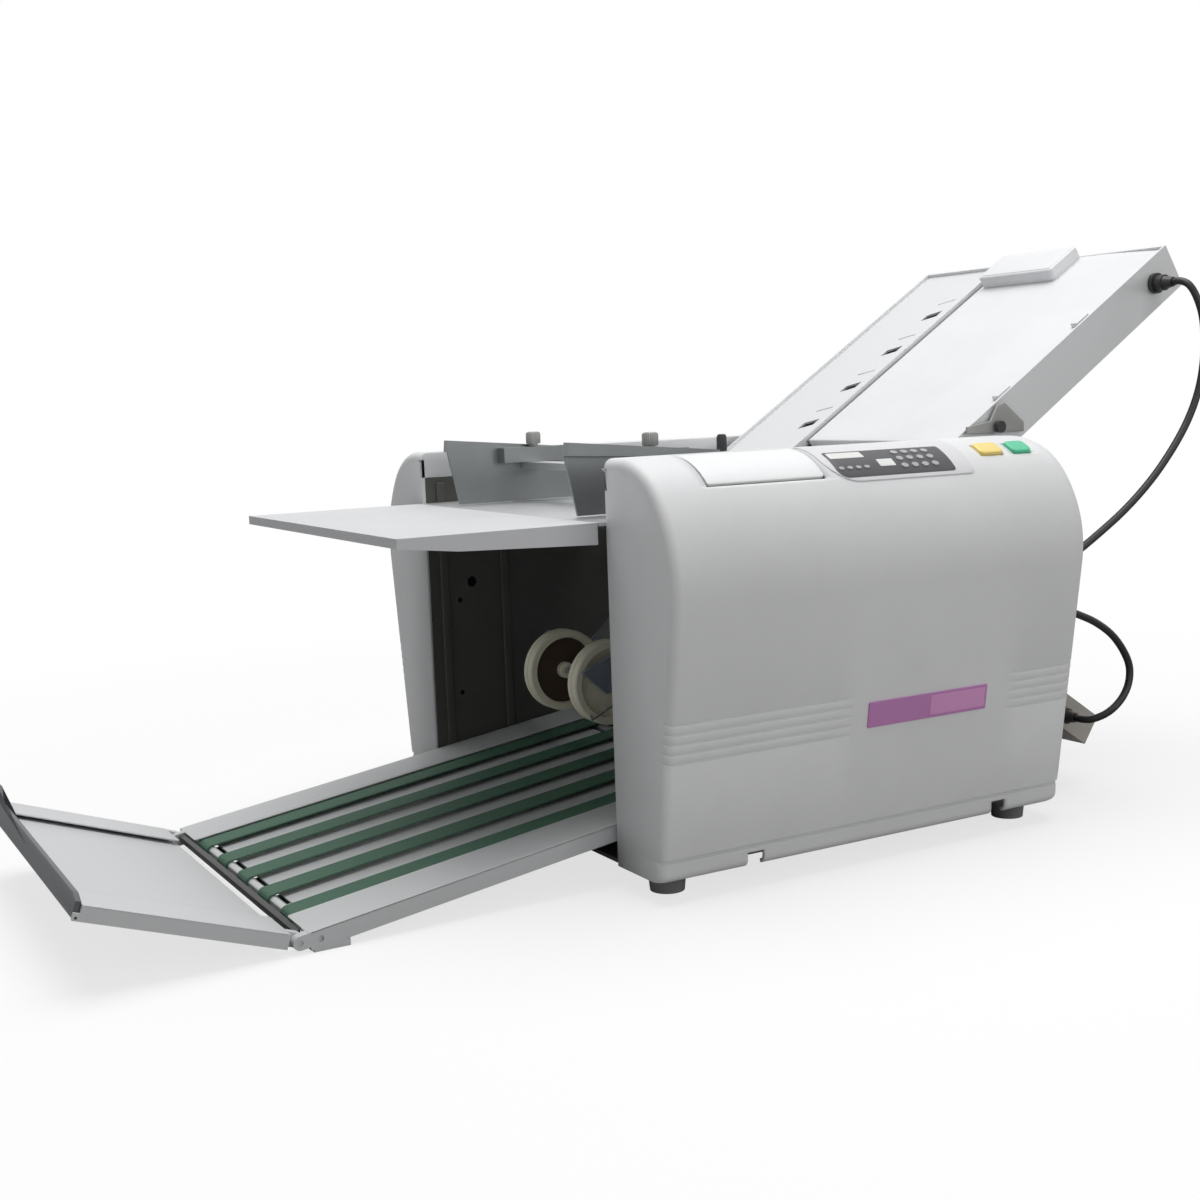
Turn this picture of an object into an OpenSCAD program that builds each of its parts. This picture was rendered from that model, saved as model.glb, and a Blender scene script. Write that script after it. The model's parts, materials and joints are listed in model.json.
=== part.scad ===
// Desktop paper folding machine: friction feed, two buckle fold plates and a folding conveyor.
// Machine frame: x runs along the paper path, y across it with 0 on the centre line, and z up
// from the table. place() then moves everything so that x = 0 is the middle of the machine.

/* [Body] */
// Length of the body along the paper path
body_len = 400; // [396:1:420]
// Clear width between the two covers
inner_w = 330; // [326:1:350]
// Height of the cover tops above the table
cover_top = 320; // [318:1:330]
// How far a cover stands out from its inner face at the widest
cover_depth = 90; // [84:1:100]
// Wall thickness of the plastic covers
cover_wall = 2.8; // [2.5:0.1:3.5]
// Height of the rubber feet under the base plate
feet_h = 18; // [16:1:20]
// Diameter of the rubber feet
feet_d = 30; // [20:1:40]
// Thickness of the base plate
base_t = 3; // [2:0.5:4]
// Thickness of the steel side frames
frame_t = 3; // [2:0.5:4]
// Height of the closed lip that the covers carry above the side frames
cover_lip = 23; // [20:1:26]
// Radius of the upper curve of a cover
crown_r = 63; // [58:1:66]
// Radius of the flank curve of a cover
flank_r = 102; // [96:1:110]
// Angle at which the crown curve passes into the flank curve
crown_split = 39.6; // [36:0.2:42]
// Lean of the flat face of a cover from the vertical
face_lean = 8.25; // [6:0.25:9]
// Rounding of the upright edge at the feed end
edge_left = 7; // [5:1:12]
// Rounding of the upright edge at the fold plate end
edge_right = 25; // [16:1:28]
// Height of the plain strip along the bottom of a cover
strip_h = 17; // [14:1:20]
// How far the bottom strip lies behind the face
strip_back = 2; // [1:0.5:3]
// Number of fine grooves in the band round a cover
groove_n = 5; // [3:1:6]
// Spacing of the grooves
groove_pitch = 7.2; // [6:0.2:8]
// Height of the lowest groove above the table
groove_z = 107; // [100:1:115]

/* [Rollers] */
// Radius of the four fold rollers at the pitch line
roll_r = 15; // [14.5:0.1:15.5]
// Gap left between two fold rollers for the sheet
roll_gap = 0.4; // [0.3:0.1:0.8]
// Length of the rubber on a fold roller
roll_len = 312; // [290:1:316]
// Diameter of the roller shafts
shaft_d = 10; // [9:0.5:11]
// Radial clearance of a shaft in its bush
run_fit = 0.06; // [0.03:0.01:0.1]
// Place of the first nip along the machine
nip_x = 62; // [60:1:64]
// Height of the first nip
nip_z = 242.5; // [241:0.5:244]
// Lean of the first pair of fold rollers
nip_lean = 8; // [6:1:10]
// Teeth on each fold roller gear
gear_teeth = 20; // [18:2:24]
// Width of the fold roller gears
gear_w = 7; // [5:1:8]
// Share of a tooth space that a tooth fills
tooth_fill = 0.88; // [0.8:0.01:0.92]
// Radius of the feed roller
feed_r = 20; // [18:0.5:21]
// Diameter of the drive motor
motor_d = 64; // [56:1:70]
// Length of the drive motor
motor_len = 96; // [80:1:110]

/* [Feed table] */
// Height of the feed table surface
table_z = 274; // [272:1:276]
// Reach of the feed table beyond the body
table_reach = 162; // [140:1:180]
// Depth of the table rim at the body
table_rim = 16; // [14:1:18]
// Depth of the table rim at its free end
table_tip = 7; // [5:1:9]
// Sheet thickness of the table and the feed bed
table_t = 2.5; // [2:0.5:3]
// Width between the paper guides as drawn
guide_w = 214; // [180:1:240]
// Height of the paper guides above the table
guide_h = 57; // [52:1:60]
// Sheet thickness of the paper guides
guide_t = 2; // [1.5:0.5:3]
// Height of the clamp bar above the table
bar_up = 29; // [27:1:32]
// Width of the clamp bar
bar_w = 20; // [16:1:26]

/* [Fold plates] */
// Slope of the upper fold plate
plate1_angle = 33; // [32:0.5:34]
// Length of the upper fold plate
plate1_len = 374; // [350:1:380]
// Depth of the upper fold plate
plate1_d = 41; // [40:0.5:43]
// Width over the side walls of both fold plates
plate_w = 314; // [300:1:318]
// Sheet thickness of the fold plates
plate_t = 2; // [1.5:0.5:3]
// Slope of the lower fold plate
plate2_angle = 34; // [33:0.5:35]
// Length of the lower fold plate
plate2_len = 244; // [220:1:250]
// Depth of the lower fold plate
plate2_d = 28; // [26:0.5:29]
// Number of windows in the upper fold plate
window_n = 8; // [5:1:9]
// Spacing of the windows
window_pitch = 31; // [26:1:34]

/* [Conveyor] */
// Slope of the inner conveyor section
conv_slope = 8.2; // [8:0.1:8.6]
// Length of the inner section from its fold hinge to its drive roller
conv_len = 384; // [370:1:388]
// Depth of the conveyor rails
rail_h = 12.6; // [12:0.1:12.6]
// Width of each conveyor rail
rail_w = 15; // [12:1:18]
// Width over the conveyor rails
conv_w = 323; // [300:1:324]
// Slope of the outer section as drawn
outer_slope = 19.3; // [17:0.1:22]
// Length of the outer section
outer_len = 148; // [130:1:160]
// Height of the end stop
stop_h = 22; // [16:1:28]
// Radius of the conveyor rollers
conv_r = 4; // [3.5:0.1:4.2]
// Thickness of the conveyor belts
belt_t = 1.2; // [0.8:0.1:1.4]
// Number of conveyor belts
belt_n = 5; // [3:1:7]
// Width of a conveyor belt
belt_w = 22; // [14:1:26]

/* [Stacker] */
// Outer radius of the stacker wheels
wheel_r = 35; // [30:1:37]
// Width of a stacker wheel
wheel_w = 14; // [10:1:18]
// Distance between the two stacker wheels
wheel_gap = 78; // [70:2:90]
// Place of the stacker wheel shaft along the machine
wheel_x = -131; // [-134:1:-126]
// Height of the stacker wheel shaft
wheel_z = 131; // [128:1:134]

/* [Controls] */
// Width of the panel lid along the machine
lid_w = 105; // [90:1:110]
// Left edge of the panel lid
lid_x = -155; // [-160:1:-150]
// Width of the control bezel along the machine
bezel_w = 138; // [130:1:142]
// Left edge of the control bezel
bezel_x = -46; // [-48:1:-44]
// Length of the stop button
stop_w = 24; // [18:1:26]
// Length of the start button
start_w = 20; // [16:1:24]
// Travel of the push buttons
press = 2; // [1:0.5:2.5]
// Diameter of the cables
cable_d = 6.4; // [5:0.2:7]

/* [Hidden] */
$fn = 48;

half_in = inner_w / 2;
x_left = -body_len / 2;
x_right = body_len / 2;
gap = 0.3;
seat = 0.02;

// Cover profile: u runs outward from the inner face, z up.
flank_u = cover_depth - flank_r;
crown_u = flank_u + (flank_r - crown_r) * cos(crown_split);
crown_z = cover_top - crown_r;
flank_z = crown_z - (flank_r - crown_r) * sin(crown_split);
frame_top = cover_top - cover_lip;

// Outer face position at height z, moved in by t along its normal
function face_u(z, t) = flank_u + (flank_r - t) * cos(face_lean)
    - (flank_z - (flank_r - t) * sin(face_lean) - z) * tan(face_lean);
function crown_pt(a, t) = [crown_u + (crown_r - t) * cos(a), crown_z + (crown_r - t) * sin(a)];
function flank_pt(a, t) = [flank_u + (flank_r - t) * cos(a), flank_z + (flank_r - t) * sin(a)];
function curve(t, na, nb) = concat(
    [for (k = [0 : na]) crown_pt(90 - (90 - crown_split) * k / na, t)],
    [for (k = [1 : nb]) flank_pt(crown_split - (crown_split + face_lean) * k / nb, t)]);
function groove(z, t) = [[face_u(z + 0.7, t), z + 0.7], [face_u(z + 0.7, t) - 1, z + 0.7],
    [face_u(z - 0.7, t) - 1, z - 0.7], [face_u(z - 0.7, t), z - 0.7]];
strip_z = feet_h + strip_h;
strip_r = 6;
function outer_profile(t) = concat(
    [[0, cover_top - t]],
    curve(t, 14, 12),
    [for (g = [groove_n - 1 : -1 : 0]) each groove(groove_z + g * groove_pitch, t)],
    [[face_u(strip_z, t), strip_z], [face_u(strip_z, t) - strip_back - 2, strip_z - 1],
     [face_u(strip_z, t) - strip_back - 2, strip_z - 2.5],
     [face_u(strip_z, t) - strip_back, strip_z - 3]],
    [for (k = [0 : 4]) [face_u(strip_z, t) - strip_back - strip_r + strip_r * cos(22.5 * k),
        feet_h + strip_r - strip_r * sin(22.5 * k)]],
    [[0, feet_h]]);
function inner_profile(t) = concat(
    [[cover_wall, cover_top - cover_wall - t]],
    curve(t + cover_wall, 14, 12),
    [[face_u(strip_z, t) - strip_back - cover_wall - 2, strip_z],
     [face_u(strip_z, t) - strip_back - cover_wall - 2, feet_h - 5],
     [-5, feet_h - 5], [-5, frame_top], [cover_wall, frame_top]]);

// Stations along a cover: place along x and how far the profile is drawn in there
edge_n = 4;
function stations(x0, x1, r0, r1) = concat(
    [for (k = [0 : edge_n]) [x0 + r0 * (1 - cos(90 * k / edge_n)), r0 * (1 - sin(90 * k / edge_n))]],
    [for (k = [edge_n : -1 : 0])
        [x1 - r1 * (1 - cos(90 * k / edge_n)), r1 * (1 - sin(90 * k / edge_n))]]);

// Skin through rings of equal length, closed by a flat cap at each end
module loft(rings) {
    n = len(rings[0]);
    m = len(rings);
    polyhedron(
        points = [for (r = rings) each r],
        faces = concat(
            [[for (i = [0 : n - 1]) i]],
            [for (j = [0 : m - 2]) each [for (i = [0 : n - 1])
                each [[j * n + i, (j + 1) * n + i, (j + 1) * n + (i + 1) % n],
                      [j * n + i, (j + 1) * n + (i + 1) % n, j * n + (i + 1) % n]]]],
            [[for (i = [n - 1 : -1 : 0]) (m - 1) * n + i]]));
}
function ring_at(x, pts) = [for (p = pts) [x, -(half_in + p[0]), p[1]]];

// Prism of a [u, z] outline of the front cover between two places along x
module cover_prism(x0, x1, pts)
    translate([x0, 0, 0]) rotate([90, 0, 90]) linear_extrude(x1 - x0)
        polygon([for (p = pts) [-(half_in + p[0]), p[1]]]);
// Band along the crown between two angles and two depths below the surface
function crown_band(a0, a1, t0, t1) = concat(
    [for (k = [0 : 10]) crown_pt(a0 + (a1 - a0) * k / 10, t0)],
    [for (k = [10 : -1 : 0]) crown_pt(a0 + (a1 - a0) * k / 10, t1)]);
// Frame standing on the crown of the front cover at an angle, z outward
module on_crown(x, a)
    translate([x, -(half_in + crown_pt(a, 0)[0]), crown_pt(a, 0)[1]]) rotate([90 - a, 0, 0]) children();

// Everything is drawn in the machine frame and moved to the middle of its length here
module place() translate([row_x, 0, 0]) children();
// A bar of round section across the machine
module cross_rod(x, z, r, y0, y1) translate([x, y1, z]) rotate([90, 0, 0]) cylinder(r = r, h = y1 - y0);
// A plate in the x-z plane between two places across the machine
module side_plate(pts, y0, y1) translate([0, y1, 0]) rotate([90, 0, 0]) linear_extrude(y1 - y0) polygon(pts);

// Roller places, each pair square to the sheet that passes between them
nip1 = [nip_x, nip_z];
roll_1 = nip1 + roll_r * [-sin(nip_lean), cos(nip_lean)];
roll_2 = nip1 - roll_r * [-sin(nip_lean), cos(nip_lean)];
roll_3 = roll_2 - 2 * roll_r * [sin(plate2_angle), cos(plate2_angle)];
exit_angle = 50;
roll_4 = roll_3 + 2 * roll_r * [cos(exit_angle), -sin(exit_angle)];
nip2 = (roll_2 + roll_3) / 2;
rolls = [roll_1, roll_2, roll_3, roll_4];
feed_axis = [-5, table_z + 1 - feed_r];
bush_r = shaft_d / 2 + 3;
gear_y = half_in + frame_t + 6;
belt_y = gear_y + gear_w + 4;
belt_y2 = belt_y + 12;
pulley_w = 9;

// Feed table and its hinge pin
table_x0 = x_left - table_reach;
table_x1 = x_left - 6;
pin_x = table_x1 + 2;
pin_z = table_z - table_rim + 3;
bar_x = -120;
bar_z = table_z + bar_up;
bar_t = 6;
guide_y = guide_w / 2;
guide_z0 = table_z + 1;
guide_z1 = table_z + guide_h;

// Upper fold plate: its own x runs up the slope from plate1_x, plate1_z, and z is its face
plate1_x = nip_x + 135;
plate1_z = nip_z + 112;
plate1_low = -144;
plate1_tip = plate1_low + plate1_len;
module on_plate1() translate([plate1_x, 0, plate1_z]) rotate([0, -plate1_angle, 0]) children();
function plate1_pt(d, n) = [plate1_x + d * cos(plate1_angle) - n * sin(plate1_angle),
    plate1_z + d * sin(plate1_angle) + n * cos(plate1_angle)];
// Lower fold plate: its own x runs down the slope from the second nip
plate2_low = 50;
plate2_tip = plate2_low + plate2_len;
module on_plate2() translate([nip2[0], 0, nip2[1]]) rotate([0, plate2_angle, 0]) children();
function plate2_pt(d, n) = [nip2[0] + d * cos(plate2_angle) + n * sin(plate2_angle),
    nip2[1] - d * sin(plate2_angle) + n * cos(plate2_angle)];

// Conveyor: its own x runs up the slope from the fold hinge, z = 0 on top of the rails
hinge_x = -446;
hinge_z = rail_h * cos(conv_slope) + 0.6;
module on_conveyor() translate([hinge_x, 0, hinge_z]) rotate([0, -conv_slope, 0]) children();
function conv_pt(d, n) = [hinge_x + d * cos(conv_slope) - n * sin(conv_slope),
    hinge_z + d * sin(conv_slope) + n * cos(conv_slope)];
conv_axis_n = -conv_r - belt_t - 1.4;
conv_drive = conv_pt(conv_len, conv_axis_n);
outer_pin_n = -5;
outer_pin = conv_pt(0, outer_pin_n);
module on_outer() translate([outer_pin[0], 0, outer_pin[1]]) rotate([0, outer_slope, 0]) children();
outer_rail_h = 10.5;
stop_t = 4;

// The middle of the length is taken between the end stop and the tip of the upper fold plate
stop_pin_n = -3.5;
x_min = outer_pin[0] - (outer_len + stop_t + gap) * cos(outer_slope) + stop_pin_n * sin(outer_slope);
x_max = plate1_pt(plate1_tip, -plate1_d)[0];
row_x = -(x_min + x_max) / 2;

// ---------------------------------------------------------------- chassis
base_out = 34;
module base_plate() color("dimgray") place()
    translate([x_left + cover_wall + 1, -half_in - base_out, feet_h])
        cube([body_len - 2 * cover_wall - 2, inner_w + 2 * base_out, base_t]);

foot_in = 30;
module rubber_feet() color("black") place()
    for (x = [x_left + foot_in, x_right - foot_in], y = [-1, 1])
        translate([x, y * (half_in + 20), 0]) cylinder(d1 = feet_d - 4, d2 = feet_d, h = feet_h);

frame_in = cover_wall + gap;
module frame_blank(y0) difference() {
    translate([x_left + frame_in, y0, feet_h + base_t])
        cube([body_len - 2 * frame_in, frame_t, frame_top - feet_h - base_t - gap]);
    for (r = concat(rolls, [feed_axis, conv_drive]))
        cross_rod(r[0], r[1], bush_r + seat, y0 - 1, y0 + frame_t + 1);
    cross_rod(arm_pin[0], arm_pin[1], 4 + run_fit, y0 - 1, y0 + frame_t + 1);
}
module front_frame() color("gray") place() frame_blank(-half_in - frame_t);
module rear_frame() color("gray") place() difference() {
    frame_blank(half_in);
    cross_rod(motor_at[0], motor_at[1], 9, half_in - 1, half_in + frame_t + 1);
    for (p = [[-155, 199, 5], [-168, 183, 2.5], [-170, 97, 2.5]])
        cross_rod(p[0], p[1], p[2], half_in - 1, half_in + frame_t + 1);
}

// Tie bars: two carry each fold plate from below, two lie low in the frame
bar_r = 6;
bars = [plate1_pt(-50, -plate1_d - bar_r - gap), plate1_pt(-130, -plate1_d - bar_r - gap),
    plate2_pt(70, -plate2_d / 2 - bar_r - gap), plate2_pt(150, -plate2_d / 2 - bar_r - gap),
    [-30, 40], [175, 40]];
module tie_bars() color("silver") place()
    for (b = bars) cross_rod(b[0], b[1], bar_r, -half_in, half_in);

module cover_shell() {
    difference() {
        loft([for (s = stations(x_left, x_right, edge_left, edge_right))
            ring_at(s[0], outer_profile(s[1]))]);
        loft([for (s = stations(x_left + cover_wall, x_right - cover_wall,
            edge_left - cover_wall, edge_right - cover_wall)) ring_at(s[0], inner_profile(s[1]))]);
        // drain notches in the bottom strip
        for (x = notch_x)
            translate([x, -half_in - cover_depth, feet_h - 1]) cube([notch_w, 40, notch_h + 1]);
    }
    // flat field in the groove band
    cover_prism(field_x, field_x + field_w, [
        [face_u(field_z0, 2.4), field_z0], [face_u(field_z0, -field_out), field_z0],
        [face_u(field_z1, -field_out), field_z1], [face_u(field_z1, 2.4), field_z1]]);
}
notch_x = [-125, 114];
notch_w = 15;
notch_h = 11;
field_x = -38;
field_w = 156;
field_z0 = groove_z - 3;
field_z1 = groove_z + (groove_n - 1) * groove_pitch + 3.2;
field_out = 0.4;
lid_a0 = 42;
lid_hinge = [crown_u - 4, cover_top - 2.2];
bezel_a0 = 37;
button_a = 60;
stop_x0 = 109;
start_x0 = 143;

module front_cover() color("gainsboro") place() difference() {
    cover_shell();
    // opening under the lid
    cover_prism(lid_x - gap, lid_x + lid_w + gap, concat(
        [[lid_hinge[0] - 2.6, cover_top - cover_wall - 1], [lid_hinge[0] - 2.6, cover_top + 2]],
        [for (k = [0 : 8]) crown_pt(90 - (90 - lid_a0 + 0.4) * k / 8, -2)],
        [crown_pt(lid_a0 - 0.4, cover_wall + 1)],
        [for (k = [8 : -1 : 0]) crown_pt(90 - (90 - lid_a0 - 2) * k / 8, cover_wall + 1)]));
    // seat of the control bezel
    cover_prism(bezel_x - gap, bezel_x + bezel_w + gap, crown_band(bezel_a0 - 0.3, 90.3, 1.5, -2));
    for (b = [[stop_x0, stop_w], [start_x0, start_w]])
        on_crown(b[0] + b[1] / 2, button_a)
            translate([-b[1] / 2 - gap, -8 - gap, -9]) cube([b[1] + 2 * gap, 16 + 2 * gap, 20]);
    // holes for the pins of the lid
    translate([lid_x - 4, -(half_in + lid_hinge[0]), lid_hinge[1] + 0.3]) rotate([0, 90, 0])
        cylinder(r = 0.8 + run_fit, h = lid_w + 8);
    // holes for the cable sockets
    for (z = socket_z) translate([x_right - 10, socket_y, z]) rotate([0, 90, 0])
        cylinder(r = socket_r + seat, h = 20);
}
socket_y = -200;
socket_z = [172, 212];
socket_r = 8;

module rear_cover() color("gainsboro") place() difference() {
    mirror([0, 1, 0]) cover_shell();
    // air slots low on the back
    for (k = [0 : 7])
        translate([40 + 12 * k, half_in + 40, 52]) cube([5, 60, 34]);
}
inlet_x = x_right - 1;
inlet_y = half_in - 35;
inlet_z = 62;

module upper_end_panel() color("darkgray") place()
    translate([x_right - cover_wall - 2, -half_in, plate2_exit_z1])
        cube([2, inner_w, frame_top - 6 - plate2_exit_z1]);
module lower_end_panel() color("darkgray") place() difference() {
    translate([x_right - cover_wall - 2, -half_in, feet_h + base_t])
        cube([2, inner_w, plate2_exit_z0 - feet_h - base_t]);
    // opening for the power inlet
    translate([x_right - 10, inlet_y - 14 - seat, inlet_z - 12 - seat])
        cube([20, 28 + 2 * seat, 42 + 2 * seat]);
}
plate2_exit = nip2[1] - (x_right - cover_wall - 1 - nip2[0]) * tan(plate2_angle);
plate2_exit_z0 = plate2_exit - plate2_d / 2 / cos(plate2_angle) - 5;
plate2_exit_z1 = plate2_exit + plate2_d / 2 / cos(plate2_angle) + 5;

// ---------------------------------------------------------------- feeding
module feed_bed() color("silver") place() {
    translate([table_x1 + gap, -half_in, table_z - table_t])
        cube([feed_axis[0] - feed_r - 3 - table_x1 - gap, inner_w, table_t]);
    for (y = [-half_in, half_in - 2])
        translate([x_left + 6, y, table_z - 14]) cube([-x_left - 56, 2, 14]);
    cross_rod(pin_x, pin_z, 2.5, -124, 124);
    for (y = [-124, -2, 120]) side_plate([[pin_x - 4, pin_z - 4], [pin_x + 4, pin_z - 4],
        [x_left + 22, table_z - table_t - 6], [x_left + 22, table_z - table_t],
        [pin_x - 1, table_z - table_t], [pin_x - 4, pin_z + 2]], y, y + 4);
}

module clamp_bar() color("silver") place() {
    translate([bar_x - bar_w / 2, -half_in, bar_z]) cube([bar_w, inner_w, bar_t]);
    for (y = [-1, 1]) translate([bar_x - bar_w / 2, y > 0 ? half_in - 2 : -half_in, table_z])
        cube([bar_w, 2, bar_up]);
}

module feed_table() color("lightgray") place() {
    difference() {
        side_plate([[table_x0, table_z], [table_x1, table_z], [table_x1, table_z - table_rim],
            [table_x0 + 46, table_z - table_rim + 4], [table_x0, table_z - table_tip]],
            -half_in + 2, half_in - 2);
        side_plate([[table_x0 + 4, table_z - table_t], [table_x1 + 1, table_z - table_t],
            [table_x1 + 1, table_z - table_rim - 1], [table_x0 + 46, table_z - table_rim - 1],
            [table_x0 + 4, table_z - table_tip - 8]], -half_in + 5, half_in - 5);
    }
    // ribs under the sheet
    for (y = [-80, 0, 80]) side_plate([[table_x0 + 5, table_z - table_t],
        [table_x1 - 12, table_z - table_t], [table_x1 - 12, table_z - 9],
        [table_x0 + 46, table_z - 8], [table_x0 + 5, table_z - table_tip]], y - 1, y + 1);
    // knuckles round the hinge pin
    difference() {
        for (y = [-106, 94]) side_plate([[table_x1 - 14, table_z - table_t],
            [table_x1, table_z - table_t], [pin_x + 4, pin_z + 3], [pin_x + 4, pin_z - 4],
            [pin_x - 4, pin_z - 4],
            [table_x1 - 14, table_z - 8]], y, y + 12);
        cross_rod(pin_x, pin_z, 2.5 + run_fit, -200, 200);
    }
}

// Paper guide of the front side, upright sheet with a lip along its top
module paper_guide() {
    difference() {
        union() {
            side_plate([[x_left + 9, guide_z0], [-60, guide_z0], [-60, guide_z1 - 12],
                [x_left, guide_z1], [x_left - 1, guide_z1 - 10]], -guide_y, -guide_y + guide_t);
            side_plate([[x_left - 1, guide_z1 - 10], [-88, guide_z1 - 16], [-88, guide_z1 - 10],
                [x_left, guide_z1]], -guide_y - 6, -guide_y);
            // clamp block on the bar
            translate([bar_x - 32, -guide_y + guide_t, bar_z + bar_t + 0.2]) cube([64, 12, 13]);
        }
        translate([bar_x - bar_w / 2 - gap, -guide_y - 10, bar_z - gap])
            cube([bar_w + 2 * gap, 40, bar_t + gap + 0.2]);
        translate([bar_x, -guide_y + guide_t + 6, bar_z]) cylinder(r = 2.5 + run_fit, h = 30);
    }
}
module clamp_screw() {
    translate([bar_x, -guide_y + guide_t + 6, bar_z + bar_t + 0.3]) cylinder(r = 2.5, h = 14);
    translate([bar_x, -guide_y + guide_t + 6, bar_z + bar_t + 13.6]) {
        cylinder(r = 4, h = 3);
        translate([0, 0, 2]) cylinder(r = 6.5, h = 10);
        translate([0, 0, 12]) cylinder(r1 = 6.5, r2 = 5.5, h = 1);
    }
}
module front_paper_guide() color("gray") place() paper_guide();
module rear_paper_guide() color("gray") place() mirror([0, 1, 0]) paper_guide();
module front_clamp_screw() color("gray") place() clamp_screw();
module rear_clamp_screw() color("gray") place() mirror([0, 1, 0]) clamp_screw();

sep_x = 14;
module separator_block() color("silver") place() difference() {
    union() {
        cross_rod(sep_x, table_z + 20, 5, -half_in, half_in);
        translate([sep_x - 30, -25, table_z + 8]) cube([46, 50, 28]);
    }
    translate([sep_x - 22, -20, table_z + 7]) cube([14, 40, 22]);
    translate([sep_x, 0, table_z + 26]) cylinder(r = 3 + run_fit, h = 20);
}
module separator_pad() color("saddlebrown") place()
    translate([sep_x - 22 + gap, -20 + gap, table_z + 1.6]) cube([14 - 2 * gap, 40 - 2 * gap, 20]);
module separator_knob() color("black") place() translate([sep_x, 0, table_z + 26.2]) {
    cylinder(r = 3, h = 12);
    translate([0, 0, 10.2]) cylinder(r = 4.5, h = 16);
    translate([0, 0, 26.2]) cylinder(r1 = 4.5, r2 = 3.5, h = 1.5);
}

module feed_roller() color("dimgray") place() {
    for (y = [-52, 8]) cross_rod(feed_axis[0], feed_axis[1], feed_r, y, y + 44);
    cross_rod(feed_axis[0], feed_axis[1], shaft_d / 2, -half_in - frame_t - 4, belt_y2 + pulley_w);
    cross_rod(feed_axis[0], feed_axis[1], 14, belt_y2, belt_y2 + pulley_w);
}
module entry_guide() color("silver") place()
    side_plate([[17, table_z - 1], [18, table_z], [44, nip_z + 6], [43, nip_z + 5]], -half_in, half_in);
module exit_guides() color("silver") place() {
    side_plate([[36, 162], [37.5, 161], [-48, 84], [-50, 85]], -half_in, half_in);
    side_plate([[22, 180], [23.5, 179], [-42, 122], [-44, 123]], -half_in, half_in);
}

// ---------------------------------------------------------------- rollers and drive
function inv_angle(r, rb) = let (c = acos(rb / r)) tan(c) * 180 / PI - c;
// Spur gear outline on its pitch radius, first tooth at angle a0, with involute flanks
function gear_pts(rp, n, a0) = let (
    m = 2 * rp / n, rb = rp * cos(20), ro = rp + 0.85 * m, rr = rp - 1.15 * m,
    half = 90 / n * tooth_fill + inv_angle(rp, rb), r1 = max(rb + 0.01, rr + 0.1),
    flank = [for (k = [0 : 3]) r1 + (ro - r1) * k / 3])
    [for (i = [0 : n - 1]) each concat(
        [rr * [cos(a0 + 360 * i / n - half - 1), sin(a0 + 360 * i / n - half - 1)]],
        [for (r = flank) r * [cos(a0 + 360 * i / n - half + inv_angle(r, rb)),
            sin(a0 + 360 * i / n - half + inv_angle(r, rb))]],
        [for (k = [3 : -1 : 0]) let (r = flank[k]) r * [cos(a0 + 360 * i / n + half - inv_angle(r, rb)),
            sin(a0 + 360 * i / n + half - inv_angle(r, rb))]],
        [rr * [cos(a0 + 360 * i / n + half + 1), sin(a0 + 360 * i / n + half + 1)]])];
module gear(c, a0) side_plate([for (p = gear_pts(roll_r, gear_teeth, a0)) p + c], gear_y, gear_y + gear_w);
function dir(a, b) = atan2(b[1] - a[1], b[0] - a[0]);
phase_1 = 0;
phase_2 = 2 * dir(roll_1, roll_2) + 180 - phase_1 + 180 / gear_teeth;
phase_3 = 2 * dir(roll_2, roll_3) + 180 - phase_2 + 180 / gear_teeth;
phase_4 = 2 * dir(roll_3, roll_4) + 180 - phase_3 + 180 / gear_teeth;

module fold_roller(c, phase, y0, y1) {
    cross_rod(c[0], c[1], roll_r - roll_gap / 2, -roll_len / 2, roll_len / 2);
    cross_rod(c[0], c[1], shaft_d / 2, y0, y1);
    gear(c, phase);
}
shaft_y0 = -half_in - frame_t - 4;
shaft_y1 = gear_y + gear_w + 1;
module pulley(c, r, y) cross_rod(c[0], c[1], r, y, y + pulley_w);
module fold_roller_1() color("dimgray") place() fold_roller(roll_1, phase_1, shaft_y0, shaft_y1);
module fold_roller_2() color("dimgray") place() {
    fold_roller(roll_2, phase_2, shaft_y0, belt_y2 + pulley_w);
    pulley(roll_2, 14, belt_y);
    pulley(roll_2, 14, belt_y2);
}
module fold_roller_3() color("dimgray") place() {
    fold_roller(roll_3, phase_3, -half_in - frame_t - 8 - pulley_w, shaft_y1);
    pulley(roll_3, 10, -half_in - frame_t - 8 - pulley_w);
}
module fold_roller_4() color("dimgray") place() fold_roller(roll_4, phase_4, shaft_y0, shaft_y1);

motor_at = [95, 80];
module drive_motor() color("dimgray") place() {
    cross_rod(motor_at[0], motor_at[1], motor_d / 2, half_in - motor_len, half_in - 6);
    translate([motor_at[0] - 36, half_in - 6, motor_at[1] - 36]) cube([72, 6, 72]);
    cross_rod(motor_at[0], motor_at[1], motor_d / 2 - 6, half_in - motor_len - 4, half_in - motor_len);
}
module motor_pulley() color("silver") place() {
    cross_rod(motor_at[0], motor_at[1], 3, half_in + gap, belt_y + pulley_w);
    pulley(motor_at, 9, belt_y);
}
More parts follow.
